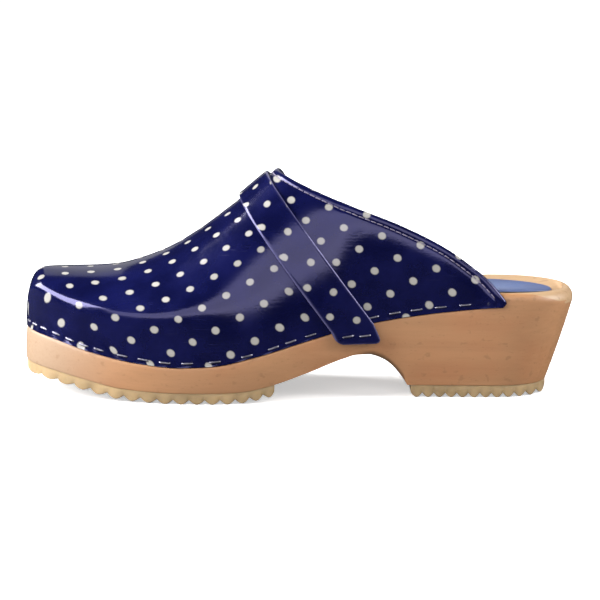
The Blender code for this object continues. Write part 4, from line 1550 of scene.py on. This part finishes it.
def make_treads(context):
    material = honey_rubber(context)
    for name, tread in TREADS.items():
        steps = np.linspace(0.0, tread["ribs"], tread["ribs"] * RIB_STEPS + 1)
        mesh = loft(name + "_ribs", [tread_ring(tread, ribs) for ribs in steps], SHARP["soft"])
        s, _, z = stations_of(mesh)
        below = underside(s) - SEAT_GAP - z
        # Painted shade in the grooves between the ribs.
        note(mesh, "groove_shade", hump(below - tread["base"], GROOVE_SHADE_WIDTH))
        show(name + "_ribs", mesh, material, "rubber", name)


# Heel pad

def pad_ring(share, lift):
    """A ring of the pad's outline, drawn in to a share of its size and lifted off the footbed."""
    middle = 0.5 * (PAD_REAR + PAD_FRONT)
    turn = np.linspace(0.0, 2.0 * np.pi, PAD_TURNS, endpoint=False)
    ways = (np.cos(turn), np.sin(turn))
    along, across = (np.sign(way) * np.abs(way) ** (2.0 / PAD_ROUND) for way in ways)
    s = middle - share * (middle - PAD_REAR) * along
    y = share * PAD_HALF * across
    return np.stack([s, y, footbed(s, y) + lift], axis=1)


def make_pad(context):
    """The pad's rings run from the middle of its top over the eased edge to the middle of its underside."""
    top = PAD_GAP + PAD
    rings = [pad_ring(share, top - eased((1.0 - share) * PAD_HALF, PAD_EASE)) for share in PAD_SHARES]
    rings += [pad_ring(share, PAD_GAP) for share in PAD_SHARES[::-1]]
    bm, loops = joined_rings(rings)
    middle = 0.5 * (PAD_REAR + PAD_FRONT)
    for ring, lift in ((loops[0], top), (loops[-1], PAD_GAP)):
        centre = bm.verts.new(placed([(middle, 0.0, float(footbed(middle, 0.0)) + lift)])[0])
        for i in range(PAD_TURNS):
            bm.faces.new((centre, ring[i], ring[(i + 1) % PAD_TURNS]))
    mesh = kept_mesh("heel_pad_leather", bm, SHARP["soft"])
    s, y, _ = stations_of(mesh)
    rub = np.hypot((s - PAD_RUB["at"] * middle) / PAD_RUB["along"], y / PAD_RUB["across"])
    note(mesh, "rubbed", hump(rub, 1.0))
    show("heel_pad_leather", mesh, pad_leather(context), "pad_leather", "heel_pad")


# Staples and stitches, as short lengths of wire or thread set along the leather

def wire_tree(name, material):
    """Geometry nodes that set a bent length of wire at each point, facing out of the leather."""
    shape = dict.fromkeys(("Length", "Thickness", "Dip", "Bend"), "NodeSocketFloat")
    geometry = {"Geometry": "NodeSocketGeometry"}
    tree, taken, given = new_group(name, geometry | shape, geometry, "GeometryNodeTree")
    taken = taken.outputs
    half = times(tree, taken["Length"], 0.5)
    start = node(tree, "ShaderNodeCombineXYZ", {"X": times(tree, half, -1.0)}).outputs[0]
    end = node(tree, "ShaderNodeCombineXYZ", {"X": half}).outputs[0]
    line = node(tree, "GeometryNodeCurvePrimitiveLine", {"Start": start, "End": end}).outputs[0]
    line = node(tree, "GeometryNodeResampleCurve", {"Curve": line, "Count": WIRE_STEPS}).outputs[0]
    spot = node(tree, "GeometryNodeInputPosition").outputs[0]
    x = node(tree, "ShaderNodeSeparateXYZ", {0: spot}).outputs["X"]
    share = maths(tree, "ABSOLUTE", maths(tree, "DIVIDE", x, half))
    drop = times(tree, maths(tree, "POWER", share, taken["Bend"]), taken["Dip"])
    offset = node(tree, "ShaderNodeCombineXYZ", {"Z": times(tree, drop, -1.0)}).outputs[0]
    line = node(tree, "GeometryNodeSetPosition", {"Geometry": line, "Offset": offset}).outputs[0]
    values = {"Resolution": WIRE_SIDES, "Radius": times(tree, taken["Thickness"], 0.5)}
    ring = node(tree, "GeometryNodeCurvePrimitiveCircle", values).outputs[0]
    values = {"Curve": line, "Profile Curve": ring, "Fill Caps": True}
    wire = node(tree, "GeometryNodeCurveToMesh", values).outputs[0]
    facing, along = (
        node(tree, "GeometryNodeInputNamedAttribute", {"Name": key}, data_type="FLOAT_VECTOR").outputs[0]
        for key in ("facing", "along")
    )
    axes = {"Primary Axis": facing, "Secondary Axis": along}
    turn = node(tree, "FunctionNodeAxesToRotation", axes, primary_axis="Z", secondary_axis="X").outputs[0]
    values = {"Points": taken["Geometry"], "Instance": wire, "Rotation": turn}
    copies = node(tree, "GeometryNodeInstanceOnPoints", values).outputs[0]
    made = node(tree, "GeometryNodeRealizeInstances", {"Geometry": copies}).outputs[0]
    made = node(tree, "GeometryNodeSetShadeSmooth", {"Geometry": made}).outputs[0]
    made = node(tree, "GeometryNodeSetMaterial", {"Geometry": made, "Material": material}).outputs[0]
    tree.links.new(made, given.inputs["Geometry"])
    return tree


def set_wires(name, spots, material, slot, **sizes):
    """Sets wires at spots, each a point and the ways it faces and runs, and keeps them as a plain mesh."""
    points, facing, along = (np.array(column) for column in zip(*spots))
    mesh = bpy.data.meshes.new(name + "_spots")
    mesh.from_pydata(placed(points).tolist(), [], [])
    for key, values in (("facing", facing), ("along", along)):
        layer = mesh.attributes.new(key, "FLOAT_VECTOR", "POINT")
        layer.data.foreach_set("vector", turned(values).astype(np.float32).ravel())
    holder = bpy.data.objects.new(name + "_spots", mesh)
    bpy.context.scene.collection.objects.link(holder)
    tree = wire_tree(name, material)
    modifier = holder.modifiers.new("wires", "NODES")
    modifier.node_group = tree
    for item in tree.interface.items_tree:
        if item.in_out == "INPUT" and item.name.lower() in sizes:
            modifier[item.identifier] = sizes[item.name.lower()]
    graph = bpy.context.evaluated_depsgraph_get()
    made = bpy.data.meshes.new_from_object(holder.evaluated_get(graph))
    made.name = name
    bpy.data.objects.remove(holder)
    show(name, made, None, slot)


def read_row(at, along, row):
    """The point or direction at a distance along a row of them."""
    return np.array([np.interp(at, along, row[:, axis]) for axis in range(3)])


def spots_on(points, facing, steps, lift):
    """Points at distances along a row of points, with the way each faces and runs."""
    along = walked(points)
    found = []
    for step in steps:
        normal = read_row(step, along, facing)
        normal /= np.linalg.norm(normal)
        probes = (step - WIRE_PROBE, step, step + WIRE_PROBE)
        rear, spot, front = (read_row(probe, along, points) for probe in probes)
        found.append((spot + lift * normal, normal, front - rear))
    return found


def edge_spots(side, surface, lift):
    """Where the staples go along the upper's lower edge on one side."""
    stations, _, _, points, facing, _ = (table[:, ::-side] for table in surface)
    line, ways, places = [], [], []
    for row, height in enumerate(walked(points)):
        above = staple_above(stations[row, 0])
        line.append(read_row(above, height, points[row]))
        ways.append(read_row(above, height, facing[row]))
        places.append(np.interp(above, height, stations[row]))
    line = np.array(line)
    steps = np.interp([-s for s in lower_edge_staples(side)], -np.array(places), walked(line))
    return spots_on(line, np.array(ways), steps, lift)


def tab_spots(lift):
    """Where the staples go on the strap's two tabs."""
    grid = strap_grid()
    facing = normals(grid)
    shares = strap_shares()
    along = walked(grid.transpose(1, 0, 2)).T
    spots = []
    for from_end in (along, along[-1] - along):
        for share in TAB_STAPLES:
            column = int(np.argmin(np.abs(shares - share)))
            row = int(np.argmin(np.abs(from_end[:, column] - TAB_STAPLE_UP)))
            out = facing[row, column]
            spot = grid[row, column] + (SEAT_GAP + STRAP + lift) * out
            spots.append((spot, out, grid[row, column + 1] - grid[row, column - 1]))
    return spots


def make_staples(context):
    sizes = context.scene.clog_sizes
    surface = upper_surface(context)
    lift = WIRE_PROUD * sizes.staple_wire / MM
    spots = edge_spots(LATERAL, surface, lift) + edge_spots(MEDIAL, surface, lift) + tab_spots(lift)
    set_wires(
        "staples", spots, staple_steel(context), "staple_steel",
        length=sizes.staple_crown, thickness=sizes.staple_wire, **STAPLE_SHAPE,
    )


def make_stitches(context):
    sizes = context.scene.clog_sizes
    _, _, away, points, facing, _ = upper_surface(context)
    row = int(np.argmin(np.abs(np.median(away, axis=1) - sizes.stitch_inset / MM)))
    pitch = sizes.stitch_pitch / MM
    clear = STITCH_ENDS * pitch
    steps = np.arange(clear, walked(points[row])[-1] - clear, pitch)
    spots = spots_on(points[row], facing[row], steps, WIRE_PROUD * sizes.thread / MM)
    set_wires(
        "topline_stitches", spots, sewing_thread(context), "stitch_thread",
        length=sizes.stitch_length, thickness=sizes.thread, **STITCH_SHAPE,
    )


# Studio

def make_floor(context):
    half = 0.5 * FLOOR_SIZE
    mesh = bpy.data.meshes.new("studio_floor")
    corners = [(-half, -half, 0.0), (half, -half, 0.0), (half, half, 0.0), (-half, half, 0.0)]
    mesh.from_pydata(corners, [], [(0, 1, 2, 3)])
    mesh.materials.append(studio_floor(context))
    floor = bpy.data.objects.new("studio_floor", mesh)
    context.scene.collection.objects.link(floor)


def make_light(scene, name, azimuth, elevation, distance, width, height, power, mirrored):
    """A panel that faces the shoe and doesn't show itself to the camera."""
    lamp = bpy.data.lights.new(name, "AREA")
    lamp.shape = "RECTANGLE"
    lamp.size = width
    lamp.size_y = height
    lamp.energy = power
    light = bpy.data.objects.new(name, lamp)
    turn = np.radians(azimuth)
    rise = np.radians(elevation)
    way = Vector((np.sin(turn) * np.cos(rise), -np.cos(turn) * np.cos(rise), np.sin(rise)))
    light.location = Vector(CAMERA["aim"]) * MM + distance * way
    light.rotation_euler = way.to_track_quat("Z", "Y").to_euler()
    light.visible_camera = False
    light.visible_glossy = mirrored
    scene.collection.objects.link(light)


def make_world(scene):
    """White to the camera, and almost dark to the shoe."""
    world = bpy.data.worlds.new("studio")
    world.use_nodes = True
    tree = world.node_tree
    seen = node(tree, "ShaderNodeLightPath").outputs["Is Camera Ray"]
    strength = ranged(tree, seen, 0.0, 1.0, AMBIENT, 1.0, "LINEAR")
    feed(tree, tree.nodes["Background"], Strength=strength, Color=(1.0, 1.0, 1.0, 1.0))
    scene.world = world


def make_camera(scene):
    lens = bpy.data.cameras.new("studio_camera")
    lens.lens = CAMERA["lens"]
    lens.sensor_width = CAMERA["sensor"]
    lens.clip_end = FLOOR_SIZE
    camera = bpy.data.objects.new("studio_camera", lens)
    camera.location = Vector(CAMERA["at"]) * MM
    away = camera.location - Vector(CAMERA["aim"]) * MM
    camera.rotation_euler = away.to_track_quat("Z", "Y").to_euler()
    scene.collection.objects.link(camera)
    scene.camera = camera
    scene.view_settings.view_transform = "Standard"


def make_stage(context):
    make_floor(context)
    for name, panel in LIGHTS.items():
        make_light(context.scene, name, *panel)
    make_world(context.scene)
    make_camera(context.scene)


# Operators, panel and registration

class CLOG_OT_upper(bpy.types.Operator):
    """Moulds the printed leather upper with its turned topline."""

    bl_idname = "clog.upper"
    bl_label = "Upper"

    def execute(self, context):
        make_upper(context)
        return {"FINISHED"}


class CLOG_OT_lining(bpy.types.Operator):
    """Lines the inside of the upper."""

    bl_idname = "clog.lining"
    bl_label = "Lining"

    def execute(self, context):
        make_lining(context)
        return {"FINISHED"}


class CLOG_OT_strap(bpy.types.Operator):
    """Lays the printed strap over the instep, with a tab on the wood at each end."""

    bl_idname = "clog.strap"
    bl_label = "Instep strap"

    def execute(self, context):
        make_strap(context)
        return {"FINISHED"}


class CLOG_OT_sole(bpy.types.Operator):
    """Carves the wooden sole."""

    bl_idname = "clog.sole"
    bl_label = "Wooden sole"

    def execute(self, context):
        make_sole(context)
        return {"FINISHED"}


class CLOG_OT_treads(bpy.types.Operator):
    """Moulds the ribbed rubber under the forefoot and the heel."""

    bl_idname = "clog.treads"
    bl_label = "Rubber treads"

    def execute(self, context):
        make_treads(context)
        return {"FINISHED"}


class CLOG_OT_pad(bpy.types.Operator):
    """Glues the blue leather pad on the heel seat."""

    bl_idname = "clog.pad"
    bl_label = "Heel pad"

    def execute(self, context):
        make_pad(context)
        return {"FINISHED"}


class CLOG_OT_staples(bpy.types.Operator):
    """Staples the upper and the strap's tabs to the wood."""

    bl_idname = "clog.staples"
    bl_label = "Staples"

    def execute(self, context):
        make_staples(context)
        return {"FINISHED"}


class CLOG_OT_stitches(bpy.types.Operator):
    """Sews the turned edge along the topline."""

    bl_idname = "clog.stitches"
    bl_label = "Topline stitches"

    def execute(self, context):
        make_stitches(context)
        return {"FINISHED"}


class CLOG_OT_stage(bpy.types.Operator):
    """Sets the floor, the lights and the camera."""

    bl_idname = "clog.stage"
    bl_label = "Studio"

    def execute(self, context):
        make_stage(context)
        return {"FINISHED"}


OPERATORS = (
    CLOG_OT_sole,
    CLOG_OT_treads,
    CLOG_OT_upper,
    CLOG_OT_lining,
    CLOG_OT_strap,
    CLOG_OT_pad,
    CLOG_OT_staples,
    CLOG_OT_stitches,
    CLOG_OT_stage,
)


class CLOG_PT_panel(bpy.types.Panel):
    """Lists the clog's sizes, colours and pieces."""

    bl_idname = "CLOG_PT_panel"
    bl_label = "Clog"
    bl_space_type = "VIEW_3D"
    bl_region_type = "UI"
    bl_category = "Clog"

    def draw(self, context):
        for group in (context.scene.clog_sizes, context.scene.clog_colours):
            for key in group.__annotations__:
                self.layout.prop(group, key)
        for operator in OPERATORS:
            self.layout.operator(operator.bl_idname)


CLASSES = (ClogSizes, ClogColours, *OPERATORS, CLOG_PT_panel)


def register():
    for kind in CLASSES:
        bpy.utils.register_class(kind)
    bpy.types.Scene.clog_sizes = bpy.props.PointerProperty(type=ClogSizes)
    bpy.types.Scene.clog_colours = bpy.props.PointerProperty(type=ClogColours)


def unregister():
    del bpy.types.Scene.clog_colours
    del bpy.types.Scene.clog_sizes
    for kind in reversed(CLASSES):
        bpy.utils.unregister_class(kind)


def main():
    register()
    bpy.ops.clog.sole()
    bpy.ops.clog.treads()
    bpy.ops.clog.upper()
    bpy.ops.clog.lining()
    bpy.ops.clog.strap()
    bpy.ops.clog.pad()
    bpy.ops.clog.staples()
    bpy.ops.clog.stitches()
    bpy.ops.clog.stage()


if __name__ == "__main__":
    main()
